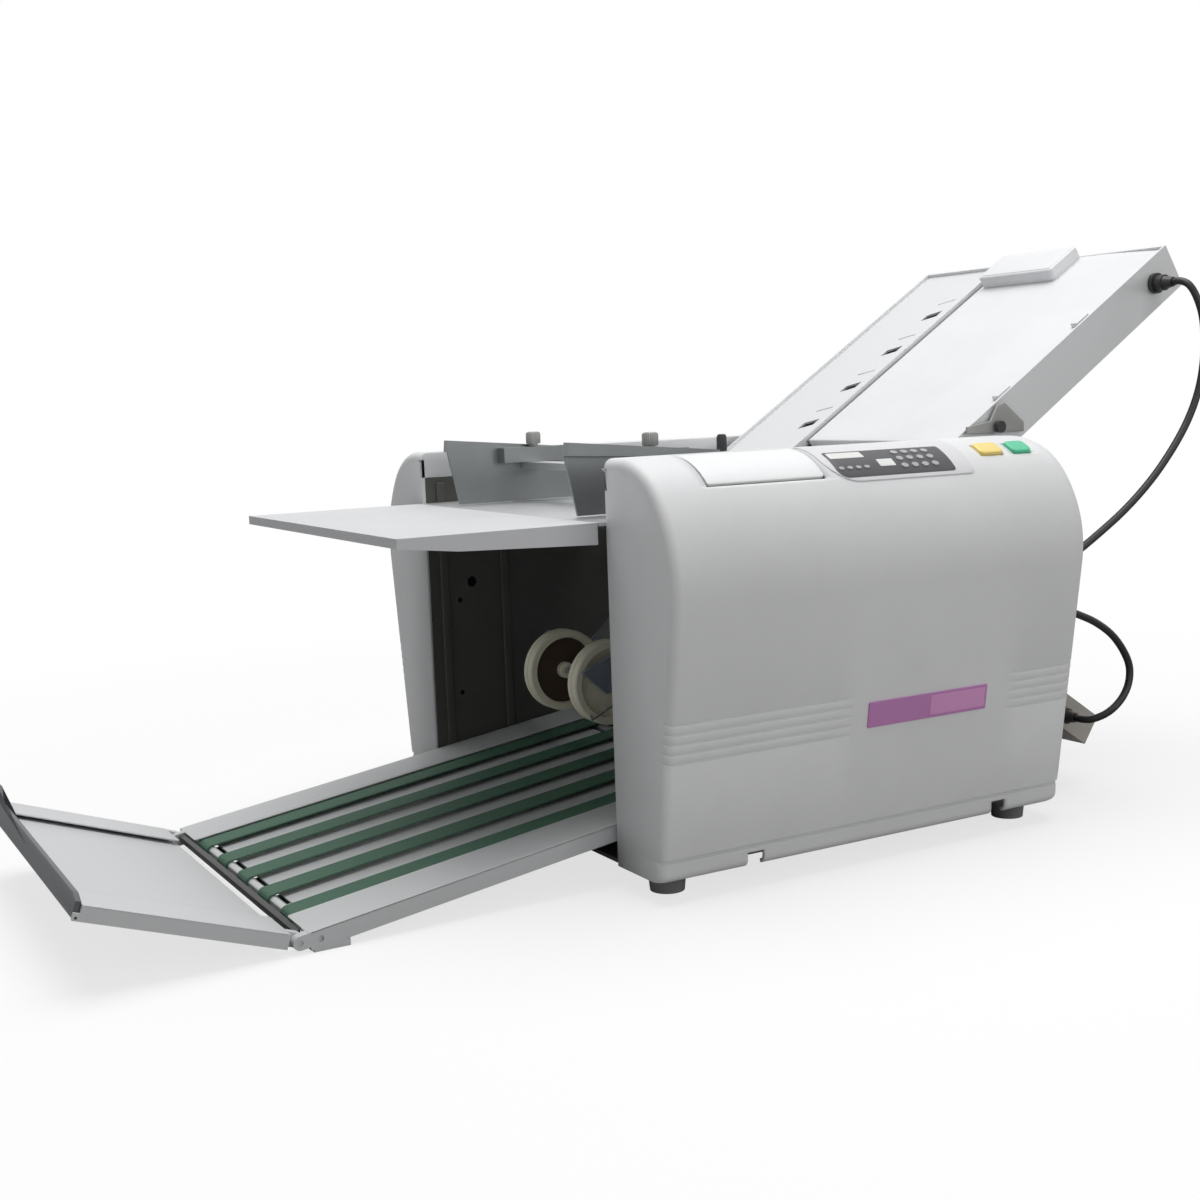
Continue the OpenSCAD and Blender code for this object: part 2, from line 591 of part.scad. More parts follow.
// Belt as a closed loop round two pulleys: the outer outline less the inner one
arc_n = 14;
function arc_pts(c, r, a0, a1) = [for (k = [0 : arc_n])
    c + r * [cos(a0 + (a1 - a0) * k / arc_n), sin(a0 + (a1 - a0) * k / arc_n)]];
function loop_pts(a, ra, b, rb) = let (t = dir(a, b), c = acos((ra - rb) / norm(b - a)))
    concat(arc_pts(b, rb, t - c, t + c), arc_pts(a, ra, t + c, t + 360 - c));
module belt_loop(a, ra, b, rb, th, y0, y1)
    translate([0, y1, 0]) rotate([90, 0, 0]) linear_extrude(y1 - y0) difference() {
        polygon(loop_pts(a, ra + gap + th, b, rb + gap + th));
        polygon(loop_pts(a, ra + gap, b, rb + gap));
    }
module drive_belt() color("black") place()
    belt_loop(motor_at, 9, roll_2, 14, 1.5, belt_y + 1, belt_y + pulley_w - 1);
module feed_belt() color("black") place()
    belt_loop(feed_axis, 14, roll_2, 14, 1.5, belt_y2 + 1, belt_y2 + pulley_w - 1);
module conveyor_drive_belt() color("black") place()
    belt_loop(conv_drive, 10, roll_3, 10, 1.5,
        -half_in - frame_t - 7 - pulley_w, -half_in - frame_t - 9);

module shaft_bushes() color("peru") place()
    for (r = concat(rolls, [feed_axis, conv_drive]), s = [0, 1]) mirror([0, s, 0]) difference() {
        union() {
            cross_rod(r[0], r[1], bush_r, half_in, half_in + frame_t);
            cross_rod(r[0], r[1], bush_r + 2, half_in + frame_t, half_in + frame_t + 2);
        }
        cross_rod(r[0], r[1], shaft_d / 2 + run_fit, half_in - 1, half_in + frame_t + 3);
    }

// ---------------------------------------------------------------- fold plates
grille_n = -16;
module fold_plate_1() color("whitesmoke") place() on_plate1() difference() {
    union() {
        for (y = [-plate_w / 2, plate_w / 2 - plate_t])
            translate([plate1_low, y, -plate1_d]) cube([plate1_len, plate_t, plate1_d]);
        translate([plate1_low, -plate_w / 2, -plate1_d]) cube([plate1_len, plate_w, plate_t]);
        translate([plate1_tip - plate_t, -plate_w / 2, -plate1_d]) cube([plate_t, plate_w, plate1_d]);
        // recessed half with its windows, carried by the far wall
        translate([plate1_low, ridge_y, -5]) cube([plate1_len - plate_t, plate_w / 2 - ridge_y, plate_t]);
        // rail beside the ridge
        translate([plate1_low, ridge_y, -5]) cube([plate1_len, 10, 8]);
        // sheet channel under the recessed half
        translate([plate1_low, -plate_w / 2, grille_n]) cube([plate1_len - 40, plate_w, 1.5]);
    }
    for (k = [0 : window_n - 1])
        translate([-48 + window_pitch * k, ridge_y + 18, -6]) linear_extrude(plate_t + 2)
            polygon([[0, 22], [10, 22], [20, 0], [10, 0]]);
    translate([plate1_low - 1, -stop_slot / 2 - 60, grille_n - 1]) cube([plate1_len - 60, stop_slot, 4]);
    translate([plate1_low - 1, -stop_slot / 2 + 60, grille_n - 1]) cube([plate1_len - 60, stop_slot, 4]);
}
ridge_y = 43;
stop_slot = 10;
// Turn-knobs that lock the upper fold plate, on its near and far walls
lock_at = [[-26, -1, -16, 5, 9], [-19, 1, -8, 5, 5], [97, 1, -8, 5, 5]];
module plate_lock_knobs() color("black") place() on_plate1()
    for (k = lock_at) translate([k[0], k[1] * plate_w / 2, k[2]]) rotate([-90 * k[1], 0, 0]) {
        cylinder(r = k[3] - 2, h = k[4] - 3);
        translate([0, 0, k[4] - 3]) cylinder(r = k[3], h = 3);
    }
module plate_1_cover() color("white") place() on_plate1() {
    difference() {
        translate([-70, -plate_w / 2 + plate_t, -10])
            cube([plate1_tip + 70 - plate_t, plate_w / 2 + ridge_y - 3 - plate_t, 10]);
        translate([-70 + 2, -plate_w / 2 + plate_t + 2, -11])
            cube([plate1_tip + 70 - plate_t - 4, plate_w / 2 + ridge_y - 3 - plate_t - 4, 9]);
    }
    translate([plate1_tip - 44, -60, -1]) cube([44 - plate_t, 96, 13]);
}
stop1_d = 90;
module fold_stop_1() color("silver") place() on_plate1() {
    translate([stop1_d, -120, grille_n + 1.8]) cube([3, 150, 2.6]);
    translate([stop1_d, -63, -plate1_d + 8]) cube([14, 6, plate1_d + grille_n - 3.6]);
}

module fold_plate_2() color("wheat") place() on_plate2() difference() {
    translate([plate2_low, -plate_w / 2, -plate2_d / 2]) cube([plate2_len, plate_w, plate2_d]);
    translate([plate2_low - 1, -plate_w / 2 + plate_t, -plate2_d / 2 + plate_t])
        cube([plate2_len + 1 - plate_t, plate_w - 2 * plate_t, plate2_d - 2 * plate_t]);
}
stop2_d = 180;
module fold_stop_2() color("silver") place() on_plate2()
    translate([stop2_d, -130, -plate2_d / 2 + plate_t + gap])
        cube([6, 260, plate2_d - 2 * plate_t - 2 * gap]);

// ---------------------------------------------------------------- conveyor
ear_r = 5;
ear_clear = 6.4;
belt_x0 = 14;
belt_pitch = 52;
module conveyor_section() color("gainsboro") place() {
    difference() {
        on_conveyor() {
            for (y = [-conv_w / 2, conv_w / 2 - rail_w]) difference() {
                translate([ear_clear, y, -rail_h]) cube([conv_len + 8 - ear_clear, rail_w, rail_h]);
                for (b = [[belt_x0, 2.5], [conv_len, conv_r]])
                    translate([b[0], y - 1, conv_axis_n]) rotate([-90, 0, 0])
                        cylinder(r = b[1] + run_fit, h = rail_w + 2);
            }
            // floor between the belt runs
            translate([belt_x0 + 8, -conv_w / 2 + rail_w, conv_axis_n - 0.75])
                cube([conv_len - belt_x0 - 16, conv_w - 2 * rail_w, 1.5]);
            // hinge ears at the fold
            for (y = [-conv_w / 2, conv_w / 2 - rail_w]) translate([0, y, outer_pin_n]) {
                rotate([-90, 0, 0]) cylinder(r = ear_r, h = rail_w / 2);
                translate([0, 0, -ear_r]) cube([ear_clear + 1, rail_w / 2, 2 * ear_r]);
            }
        }
        cross_rod(outer_pin[0], outer_pin[1], 2 + run_fit, -200, 200);
    }
    // feet under the rails beside the fold
    for (y = [-conv_w / 2, conv_w / 2 - rail_w])
        translate([hinge_x + 10, y, 0]) cube([26, rail_w, 5]);
}
module conveyor_belts() color("darkgreen") place() on_conveyor()
    for (k = [0 : belt_n - 1]) let (y = (k - (belt_n - 1) / 2) * belt_pitch)
        belt_loop([belt_x0, conv_axis_n], conv_r, [conv_len, conv_axis_n], conv_r, belt_t,
            y - belt_w / 2, y + belt_w / 2);
module conveyor_roller() color("silver") place() {
    cross_rod(conv_drive[0], conv_drive[1], 4, -half_in - frame_t - 8 - pulley_w, half_in + frame_t + 4);
    cross_rod(conv_drive[0], conv_drive[1], 10, -half_in - frame_t - 8 - pulley_w, -half_in - frame_t - 8);
}
module conveyor_end_roller() color("silver") place() on_conveyor() {
    cross_rod(belt_x0, conv_axis_n, conv_r, -conv_w / 2 + rail_w + gap, conv_w / 2 - rail_w - gap);
    cross_rod(belt_x0, conv_axis_n, 2.5, -conv_w / 2 + 2, conv_w / 2 - 2);
}
outer_cut = 8;
module outer_section() color("gainsboro") place() on_outer() difference() {
    union() {
        for (s = [0, 1]) mirror([0, s, 0]) {
            translate([-outer_len, -conv_w / 2, -5.5]) cube([outer_len - outer_cut, rail_w, outer_rail_h]);
            // ears that hold the end stop
            translate([-outer_len - stop_t - gap, -conv_w / 2, -5.5]) cube([stop_t + 1, 2.7, 5]);
        }
        translate([-outer_len, -conv_w / 2 + rail_w, -1])
            cube([outer_len - outer_cut, conv_w - 2 * rail_w, 2]);
        // hinge ears beside those of the inner section, with their pins
        for (y = [-conv_w / 2, conv_w / 2 - rail_w]) {
            translate([0, y + rail_w / 2 + gap, 0]) rotate([-90, 0, 0])
                cylinder(r = ear_r, h = rail_w / 2 - gap);
            translate([-outer_cut - 1, y + rail_w / 2 + gap, -ear_r])
                cube([outer_cut + 1, rail_w / 2 - gap, 2 * ear_r]);
            translate([0, y + 1, 0]) rotate([-90, 0, 0]) cylinder(r = 2, h = rail_w - 1);
        }
    }
    translate([-outer_len - stop_t / 2 - gap, -conv_w / 2 - 1, stop_pin_n]) rotate([-90, 0, 0])
        cylinder(r = 1 + run_fit, h = conv_w + 2);
}
module end_stop() color("dimgray") place() on_outer()
    translate([-outer_len - stop_t / 2 - gap, 0, stop_pin_n]) {
        translate([-stop_t / 2, -conv_w / 2 + 3, 0]) cube([stop_t, conv_w - 6, stop_h]);
        rotate([90, 0, 0]) cylinder(r = stop_t / 2, h = conv_w - 6, center = true);
        rotate([90, 0, 0]) cylinder(r = 1, h = conv_w - 1, center = true);
    }

// ---------------------------------------------------------------- stacker
arm_pin = [-78, 142];
module stacker_arms() color("silver") place() {
    cross_rod(arm_pin[0], arm_pin[1], 4, -half_in - frame_t - 2, half_in + frame_t + 2);
    for (y = [-wheel_gap / 2 - wheel_w / 2 - 4, wheel_gap / 2 + wheel_w / 2 + 1])
        difference() {
            side_plate([[wheel_x - 30, wheel_z + 12], [wheel_x - 8, wheel_z - 8],
                [arm_pin[0], arm_pin[1] - 9], [arm_pin[0] + 9, arm_pin[1]], [arm_pin[0], arm_pin[1] + 9],
                [wheel_x + 4, wheel_z + 26]], y, y + 3);
            cross_rod(wheel_x, wheel_z, 3 + run_fit, -100, 100);
        }
}
module stacker_wheels() color("lemonchiffon") place() {
    cross_rod(wheel_x, wheel_z, 3, -wheel_gap / 2 - wheel_w / 2 - 6, wheel_gap / 2 + wheel_w / 2 + 6);
    for (s = [-1, 1]) {
        y = s * wheel_gap / 2 - wheel_w / 2;
        difference() {
            cross_rod(wheel_x, wheel_z, wheel_r, y, y + wheel_w);
            cross_rod(wheel_x, wheel_z, wheel_r - 6, y - 1, y + wheel_w + 1);
        }
        cross_rod(wheel_x, wheel_z, 7, y, y + wheel_w);
        for (a = [0 : 72 : 359]) translate([wheel_x, 0, wheel_z]) rotate([0, a, 0])
            translate([5, y + 4, -2.5]) cube([wheel_r - 9, wheel_w - 8, 5]);
    }
}

// ---------------------------------------------------------------- controls
module panel_lid() color("white") place() {
    cover_prism(lid_x, lid_x + lid_w, concat(
        [[lid_hinge[0], cover_top], [lid_hinge[0], cover_top - 2.2]],
        [for (k = [0 : 10]) crown_pt(90 - (90 - lid_a0) * k / 10, 2.2)],
        [for (k = [10 : -1 : 0]) crown_pt(90 - (90 - lid_a0) * k / 10, 0)]));
    translate([lid_x, -(half_in + lid_hinge[0]), lid_hinge[1] + 0.3]) rotate([0, 90, 0])
        cylinder(r = 1.8, h = lid_w);
    translate([lid_x - 2.5, -(half_in + lid_hinge[0]), lid_hinge[1] + 0.3]) rotate([0, 90, 0])
        cylinder(r = 0.8, h = lid_w + 5);
}
module control_well() color("darkgray") place() difference() {
    cover_prism(lid_x + 2, lid_x + lid_w - 2, [[frame_t, 262], [58, 262], [58, 290], [frame_t, 290]]);
    cover_prism(lid_x + 4, lid_x + lid_w - 4, [[frame_t + 2, 264], [56, 264], [56, 292], [frame_t + 2, 292]]);
}
module control_bezel() color("silver") place() difference() {
    cover_prism(bezel_x, bezel_x + bezel_w, crown_band(bezel_a0, 90, 1.4, -1));
    cover_prism(keypad_x - gap, keypad_x + keypad_w + gap, crown_band(40, 68, 0.4, -2));
}
keypad_x = -38;
keypad_w = 112;
module keypad() color("dimgray") place()
    cover_prism(keypad_x, keypad_x + keypad_w, crown_band(40.3, 67.7, 0.3, -0.6));
module keypad_keys() color("lightgray") place()
    for (x = [keypad_x + 52 : 13 : keypad_x + keypad_w - 8], a = [48, 60])
        on_crown(x, a) translate([0, 0, 0.7]) cylinder(d = 7, h = 0.8);
module circuit_board() color("green") place() {
    translate([30, -half_in - frame_t - 10, 50]) cube([150, 1.6, 90]);
    for (x = [38, 172], z = [58, 132]) cross_rod(x, z, 3, -half_in - frame_t - 8.4, -half_in - frame_t);
    translate([50, -half_in - frame_t - 28, 66]) cube([34, 18, 30]);
    translate([110, -half_in - frame_t - 22, 100]) cube([50, 12, 12]);
}
module switch_shelf() color("dimgray") place() {
    cover_prism(stop_x0 - 4, start_x0 + start_w + 4, [[frame_t, 283], [52, 283], [52, 286], [frame_t, 286]]);
    for (b = [[stop_x0, stop_w], [start_x0, start_w]])
        cover_prism(b[0] + 4, b[0] + b[1] - 4, [[32, 286], [46, 286], [46, 295], [32, 295]]);
}
module push_button(x, w) on_crown(x + w / 2, button_a) {
    translate([-w / 2, -8, -6]) cube([w, 16, 8.5]);
    translate([-4, -4, -13]) cube([8, 8, 8]);
}
module stop_button() color("gold") place() push_button(stop_x0, stop_w);
module start_button() color("mediumseagreen") place() push_button(start_x0, start_w);
module power_inlet() color("black") place() difference() {
    translate([inlet_x - 24, inlet_y - 14, inlet_z - 12]) cube([24, 28, 42]);
    translate([inlet_x - 14, inlet_y - 9, inlet_z - 8]) cube([20, 18, 14]);
    translate([inlet_x - 10, inlet_y - 7, inlet_z + 12]) cube([20, 14, 14]);
}
module power_rocker() color("firebrick") place()
    side_plate([[inlet_x - 5, inlet_z + 13], [inlet_x + 1.5, inlet_z + 14],
        [inlet_x + 0.2, inlet_z + 19], [inlet_x + 1.5, inlet_z + 24],
        [inlet_x - 5, inlet_z + 25]], inlet_y - 6.7, inlet_y + 6.7);
module cable_sockets() color("black") place() {
    for (z = socket_z) translate([x_right - 12, socket_y, z]) rotate([0, 90, 0]) {
        cylinder(r = socket_r, h = 14);
        translate([0, 0, 12]) cylinder(r = socket_r + 2, h = 3);
        translate([0, 0, 15]) cylinder(r1 = 6, r2 = 4, h = 8);
    }
    for (p = gland_at) translate([p[0], -plate_w / 2, p[1]]) rotate([90, 0, 0]) {
        cylinder(r = 9, h = 4);
        translate([0, 0, 4]) cylinder(r = 7, h = 8);
        translate([0, 0, 12]) cylinder(r1 = 6, r2 = 4.2, h = 9);
    }
}
gland_at = [[376, 446], [258, 71]];

// ---------------------------------------------------------------- cables
// Tube of eight sides along a route, one ring at each point, square to its neighbours
function unit(v) = v / norm(v);
function tangent(p, i) = unit(p[min(i + 1, len(p) - 1)] - p[max(i - 1, 0)]);
function side_dir(t) = unit(cross(t, abs(t[1]) > 0.9 ? [0, 0, 1] : [0, 1, 0]));
function cat(p, i, s) = 0.5 * ((2 * p[i]) + (p[i + 1] - p[i - 1]) * s
    + (2 * p[i - 1] - 5 * p[i] + 4 * p[i + 1] - p[i + 2]) * s * s
    + (-p[i - 1] + 3 * p[i] - 3 * p[i + 1] + p[i + 2]) * s * s * s);
function smooth(p) = let (q = concat([2 * p[0] - p[1]], p, [2 * p[len(p) - 1] - p[len(p) - 2]]))
    concat([for (i = [1 : len(p) - 1], s = [0, 0.5]) cat(q, i, s)], [p[len(p) - 1]]);
function parallel(p, i) = i == 0 ? side_dir(tangent(p, 0)) :
    let (u = parallel(p, i - 1), t = tangent(p, i)) unit(u - (u * t) * t);
module tube(p, d) loft([for (i = [0 : len(p) - 1])
    let (t = tangent(p, i), u = parallel(p, i), v = cross(t, u))
    [for (k = [0 : 7]) p[i] + d / 2 * (cos(45 * k) * u + sin(45 * k) * v)]]);
upper_route = [[376, -178.2, 446], [376, -186, 446], [377, -194, 442], [379, -200, 432],
    [382, -204, 416], [384, -205, 396], [383, -205, 374], [377, -205, 350], [364, -205, 325],
    [344, -205, 300], [318, -205, 275], [288, -204, 252], [258, -202, 233], [236, -200, 220],
    [221, -200, 212.3], [211.2, -200, 212]];
lower_route = [[211.2, -200, 172], [222, -200, 171.8], [238, -201, 166], [256, -202, 158],
    [274, -203, 146], [288, -203, 131], [295, -204, 116], [293, -205, 101], [284, -205, 88],
    [272, -202, 78], [262, -194, 72], [258, -186, 71], [258, -178.2, 71]];
module upper_cable() color("black") place() tube(smooth(upper_route), cable_d);
module lower_cable() color("black") place() tube(smooth(lower_route), cable_d);

base_plate();
rubber_feet();
front_frame();
rear_frame();
tie_bars();
front_cover();
rear_cover();
upper_end_panel();
lower_end_panel();
feed_bed();
clamp_bar();
control_bezel();
keypad();
keypad_keys();
circuit_board();
switch_shelf();
control_well();
panel_lid();
stop_button();
start_button();
power_inlet();
power_rocker();
cable_sockets();
drive_motor();
motor_pulley();
drive_belt();
feed_belt();
conveyor_drive_belt();
shaft_bushes();
fold_roller_1();
fold_roller_2();
fold_roller_3();
fold_roller_4();
feed_roller();
separator_block();
separator_pad();
separator_knob();
entry_guide();
exit_guides();
feed_table();
front_paper_guide();
rear_paper_guide();
front_clamp_screw();
rear_clamp_screw();
fold_plate_1();
plate_1_cover();
plate_lock_knobs();
fold_stop_1();
fold_plate_2();
fold_stop_2();
conveyor_section();
conveyor_belts();
conveyor_roller();
conveyor_end_roller();
outer_section();
end_stop();
stacker_arms();
stacker_wheels();
upper_cable();
lower_cable();
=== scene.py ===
"""Looks of a desktop paper folding machine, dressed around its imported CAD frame.

Sizes are written in millimetres in the machine frame of the CAD source: x runs along the paper
path with 0 in the middle of the body, y runs across it away from the control side, and z is up
from the table. Machine.at() moves them to the row frame in metres.
"""
from __future__ import annotations

import json
import logging
import math
from dataclasses import dataclass, field
from enum import Enum
from typing import Callable, Sequence

import bmesh
import bpy
import numpy as np
from mathutils import Matrix, Vector

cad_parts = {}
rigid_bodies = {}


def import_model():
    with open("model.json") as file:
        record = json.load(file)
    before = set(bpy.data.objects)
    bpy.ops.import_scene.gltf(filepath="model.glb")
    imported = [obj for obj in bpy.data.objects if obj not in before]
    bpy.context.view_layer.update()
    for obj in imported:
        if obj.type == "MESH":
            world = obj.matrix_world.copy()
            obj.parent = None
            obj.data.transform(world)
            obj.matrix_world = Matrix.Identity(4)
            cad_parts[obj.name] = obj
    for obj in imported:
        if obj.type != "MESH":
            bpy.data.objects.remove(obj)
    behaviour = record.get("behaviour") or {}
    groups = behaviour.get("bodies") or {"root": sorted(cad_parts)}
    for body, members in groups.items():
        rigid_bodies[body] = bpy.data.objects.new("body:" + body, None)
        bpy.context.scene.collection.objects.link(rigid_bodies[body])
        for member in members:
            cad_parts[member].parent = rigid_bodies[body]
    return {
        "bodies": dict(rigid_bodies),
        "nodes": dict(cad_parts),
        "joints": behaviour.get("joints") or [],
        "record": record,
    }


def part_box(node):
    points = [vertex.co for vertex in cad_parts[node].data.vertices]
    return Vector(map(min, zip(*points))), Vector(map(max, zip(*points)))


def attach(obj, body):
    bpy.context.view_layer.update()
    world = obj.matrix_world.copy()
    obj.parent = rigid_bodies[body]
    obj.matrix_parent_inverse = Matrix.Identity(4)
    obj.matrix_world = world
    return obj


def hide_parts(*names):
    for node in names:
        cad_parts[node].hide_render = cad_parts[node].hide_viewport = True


LOG = logging.getLogger("folder")
Array = np.ndarray
Place = Callable[[Array, Array, Array], Array]

HALF_IN = 165.0
X_LEFT = -200.0
X_RIGHT = 200.0
COVER_TOP = 320.0


# ------------------------------------------------------------------ finishes
class Grain(Enum):
    """Kinds of small relief that a finish can have."""

    MOULDED = "fine pits of a spark-eroded mould"
    PAINT = "soft ripple of a powder coat"
    BRUSHED = "long fine lines"
    RUBBER = "ground rubber"
    WOVEN = "woven belt"
    SMOOTH = "printed or polished film"


GRAIN_SCALE: dict[Grain, float] = {
    Grain.MOULDED: 1500.0, Grain.PAINT: 420.0, Grain.BRUSHED: 1400.0, Grain.RUBBER: 1800.0,
    Grain.WOVEN: 260.0, Grain.SMOOTH: 60.0,
}
RELIEF_DEPTH = 0.0006
ROUGH_SPREAD = 0.06


def linear(rgb: Sequence[float]) -> tuple[float, float, float, float]:
    """Colour written in display values from 0 to 255, as linear numbers with full alpha.

    Args:
        rgb: red, green and blue as seen on a screen.

    Returns:
        The linear colour.
    """
    c = np.asarray(rgb, float) / 255.0
    low = c / 12.92
    high = ((c + 0.055) / 1.055) ** 2.4
    return (*np.where(c <= 0.04045, low, high).tolist(), 1.0)


@dataclass(frozen=True)
class Finish:
    """One procedural finish, read on Object coordinates."""

    name: str
    rgb: tuple[int, int, int]
    grain: Grain = Grain.MOULDED
    rough: float = 0.5
    metal: float = 0.0
    relief: float = 0.12
    drift: float = 0.03
    stretch: tuple[float, float, float] = (1.0, 1.0, 1.0)
    coat: float = 0.0

    def make(self) -> bpy.types.Material:
        """Builds the node material, or returns it if it is there.

        Returns:
            The material of this finish.
        """
        if self.name in bpy.data.materials:
            return bpy.data.materials[self.name]
        mat = bpy.data.materials.new(self.name)
        mat.use_nodes = True
        tree = mat.node_tree
        shader = tree.nodes["Principled BSDF"]
        shader.inputs["Metallic"].default_value = self.metal
        shader.inputs["Coat Weight"].default_value = self.coat
        shader.inputs["Coat Roughness"].default_value = 0.25
        coords = tree.nodes.new("ShaderNodeTexCoord")
        turn = tree.nodes.new("ShaderNodeMapping")
        turn.inputs["Scale"].default_value = self.stretch
        tree.links.new(coords.outputs["Object"], turn.inputs["Vector"])
        self._colour(tree, shader, coords)
        height = self._height(tree, turn)
        self._rough(tree, shader, height)
        bump = tree.nodes.new("ShaderNodeBump")
        bump.inputs["Strength"].default_value = self.relief
        bump.inputs["Distance"].default_value = RELIEF_DEPTH
        tree.links.new(height, bump.inputs["Height"])
        tree.links.new(bump.outputs["Normal"], shader.inputs["Normal"])
        return mat

    def _colour(self, tree: bpy.types.NodeTree, shader: bpy.types.Node, coords: bpy.types.Node) -> None:
        """Slow drift of the colour over the piece, from a large noise through a ramp.

        Args:
            tree: node tree of the material.
            shader: its shader node.
            coords: its texture coordinate node.
        """
        cloud = tree.nodes.new("ShaderNodeTexNoise")
        cloud.inputs["Scale"].default_value = 9.0
        cloud.inputs["Detail"].default_value = 5.0
        cloud.inputs["Roughness"].default_value = 0.62
        ramp = tree.nodes.new("ShaderNodeValToRGB")
        base = linear(self.rgb)
        for i, (place, gain) in enumerate(((0.32, 1 - self.drift), (0.68, 1 + self.drift))):
            ramp.color_ramp.elements[i].position = place
            ramp.color_ramp.elements[i].color = (*[min(1.0, v * gain) for v in base[:3]], 1.0)
        tree.links.new(coords.outputs["Object"], cloud.inputs["Vector"])
        tree.links.new(cloud.outputs["Fac"], ramp.inputs["Fac"])
        tree.links.new(ramp.outputs["Color"], shader.inputs["Base Color"])

    def _height(self, tree: bpy.types.NodeTree, turn: bpy.types.Node) -> bpy.types.NodeSocket:
        """Small relief of the finish.

        Args:
            tree: node tree of the material.
            turn: mapping node that stretches the pattern.

        Returns:
            The socket that carries the height.
        """
        if self.grain is Grain.WOVEN:
            waves = []
            for way in ("X", "Y"):
                wave = tree.nodes.new("ShaderNodeTexWave")
                wave.bands_direction = way
                wave.inputs["Scale"].default_value = GRAIN_SCALE[self.grain]
                wave.inputs["Distortion"].default_value = 0.6
                tree.links.new(turn.outputs["Vector"], wave.inputs["Vector"])
                waves.append(wave)
            both = tree.nodes.new("ShaderNodeMath")
            both.operation = "MULTIPLY"
            for i, wave in enumerate(waves):
                tree.links.new(wave.outputs["Fac"], both.inputs[i])
            return both.outputs["Value"]
        if self.grain is Grain.MOULDED:
            pits = tree.nodes.new("ShaderNodeTexVoronoi")
            pits.inputs["Scale"].default_value = GRAIN_SCALE[self.grain]
            tree.links.new(turn.outputs["Vector"], pits.inputs["Vector"])
            return pits.outputs["Distance"]
        noise = tree.nodes.new("ShaderNodeTexNoise")
        noise.inputs["Scale"].default_value = GRAIN_SCALE[self.grain]
        noise.inputs["Detail"].default_value = 3.0
        tree.links.new(turn.outputs["Vector"], noise.inputs["Vector"])
        return noise.outputs["Fac"]

    def _rough(self, tree: bpy.types.NodeTree, shader: bpy.types.Node,
               height: bpy.types.NodeSocket) -> None:
        """Roughness that varies a little with the relief.

        Args:
            tree: node tree of the material.
            shader: its shader node.
            height: socket that carries the relief.
        """
        span = tree.nodes.new("ShaderNodeMapRange")
        span.inputs["To Min"].default_value = max(0.05, self.rough - ROUGH_SPREAD)
        span.inputs["To Max"].default_value = min(1.0, self.rough + ROUGH_SPREAD)
        tree.links.new(height, span.inputs["Value"])
        tree.links.new(span.outputs["Result"], shader.inputs["Roughness"])


COVER = Finish("cover_plastic", (228, 229, 230), Grain.MOULDED, 0.52, relief=0.10)
LID = Finish("lid_plastic", (240, 241, 242), Grain.MOULDED, 0.42, relief=0.06)
BEZEL = Finish("bezel_plastic", (222, 222, 225), Grain.MOULDED, 0.45, relief=0.08)
KEYPAD = Finish("keypad_film", (74, 74, 78), Grain.SMOOTH, 0.4, relief=0.05)
WINDOW = Finish("display_window", (232, 234, 232), Grain.SMOOTH, 0.25, relief=0.03)
KEY = Finish("key_caps", (176, 176, 178), Grain.MOULDED, 0.4, relief=0.05)
STOP = Finish("stop_button_plastic", (250, 224, 130), Grain.SMOOTH, 0.3, relief=0.04, coat=0.3)
START = Finish("start_button_plastic", (84, 206, 160), Grain.SMOOTH, 0.3, relief=0.04, coat=0.3)
BADGE = Finish("badge_film", (196, 132, 190), Grain.SMOOTH, 0.35, relief=0.03)
BADGE_PALE = Finish("badge_film_pale", (222, 156, 208), Grain.SMOOTH, 0.35, relief=0.03)
PLATE = Finish("plate_paint", (214, 215, 217), Grain.PAINT, 0.45, relief=0.10)
PLATE_COVER = Finish("plate_cover_plastic", (232, 233, 235), Grain.MOULDED, 0.4, relief=0.06)
BEIGE = Finish("lower_plate_paint", (178, 174, 166), Grain.PAINT, 0.45, relief=0.10)
TABLE = Finish("table_plastic", (208, 209, 211), Grain.MOULDED, 0.5, relief=0.12)
CONVEYOR = Finish("conveyor_plastic", (220, 220, 222), Grain.MOULDED, 0.5, relief=0.12)
SLATE = Finish("slate_plastic", (80, 84, 88), Grain.MOULDED, 0.5, relief=0.12)
GUIDE = Finish("guide_sheet", (138, 141, 142), Grain.BRUSHED, 0.38, 0.75, 0.08, 0.05, (1.0, 1.0, 0.04))
STEEL = Finish("bright_steel", (190, 191, 193), Grain.BRUSHED, 0.3, 1.0, 0.06, 0.04, (1.0, 0.05, 1.0))
FRAME_PAINT = Finish("frame_paint", (84, 85, 81), Grain.PAINT, 0.55, relief=0.12)
DARK_STEEL = Finish("dark_steel", (74, 75, 78), Grain.PAINT, 0.5, relief=0.12)
BLACK = Finish("black_plastic", (28, 28, 29), Grain.MOULDED, 0.42, relief=0.1)
RUBBER = Finish("roller_rubber", (62, 62, 64), Grain.RUBBER, 0.7, relief=0.15)
BELT = Finish("belt_rubber", (30, 30, 31), Grain.RUBBER, 0.65, relief=0.12)
GREEN_BELT = Finish("conveyor_belt", (66, 104, 84), Grain.WOVEN, 0.7, relief=0.25)
CABLE = Finish("cable_sheath", (22, 22, 23), Grain.RUBBER, 0.4, relief=0.06)
CREAM = Finish("wheel_plastic", (240, 236, 214), Grain.MOULDED, 0.5, relief=0.1)
ARM = Finish("arm_sheet", (176, 186, 200), Grain.BRUSHED, 0.4, 0.6, 0.06, 0.04, (0.05, 1.0, 1.0))
BRASS = Finish("bush_brass", (176, 140, 84), Grain.BRUSHED, 0.4, 1.0, 0.05)
BOARD = Finish("board_green", (30, 110, 66), Grain.SMOOTH, 0.4)
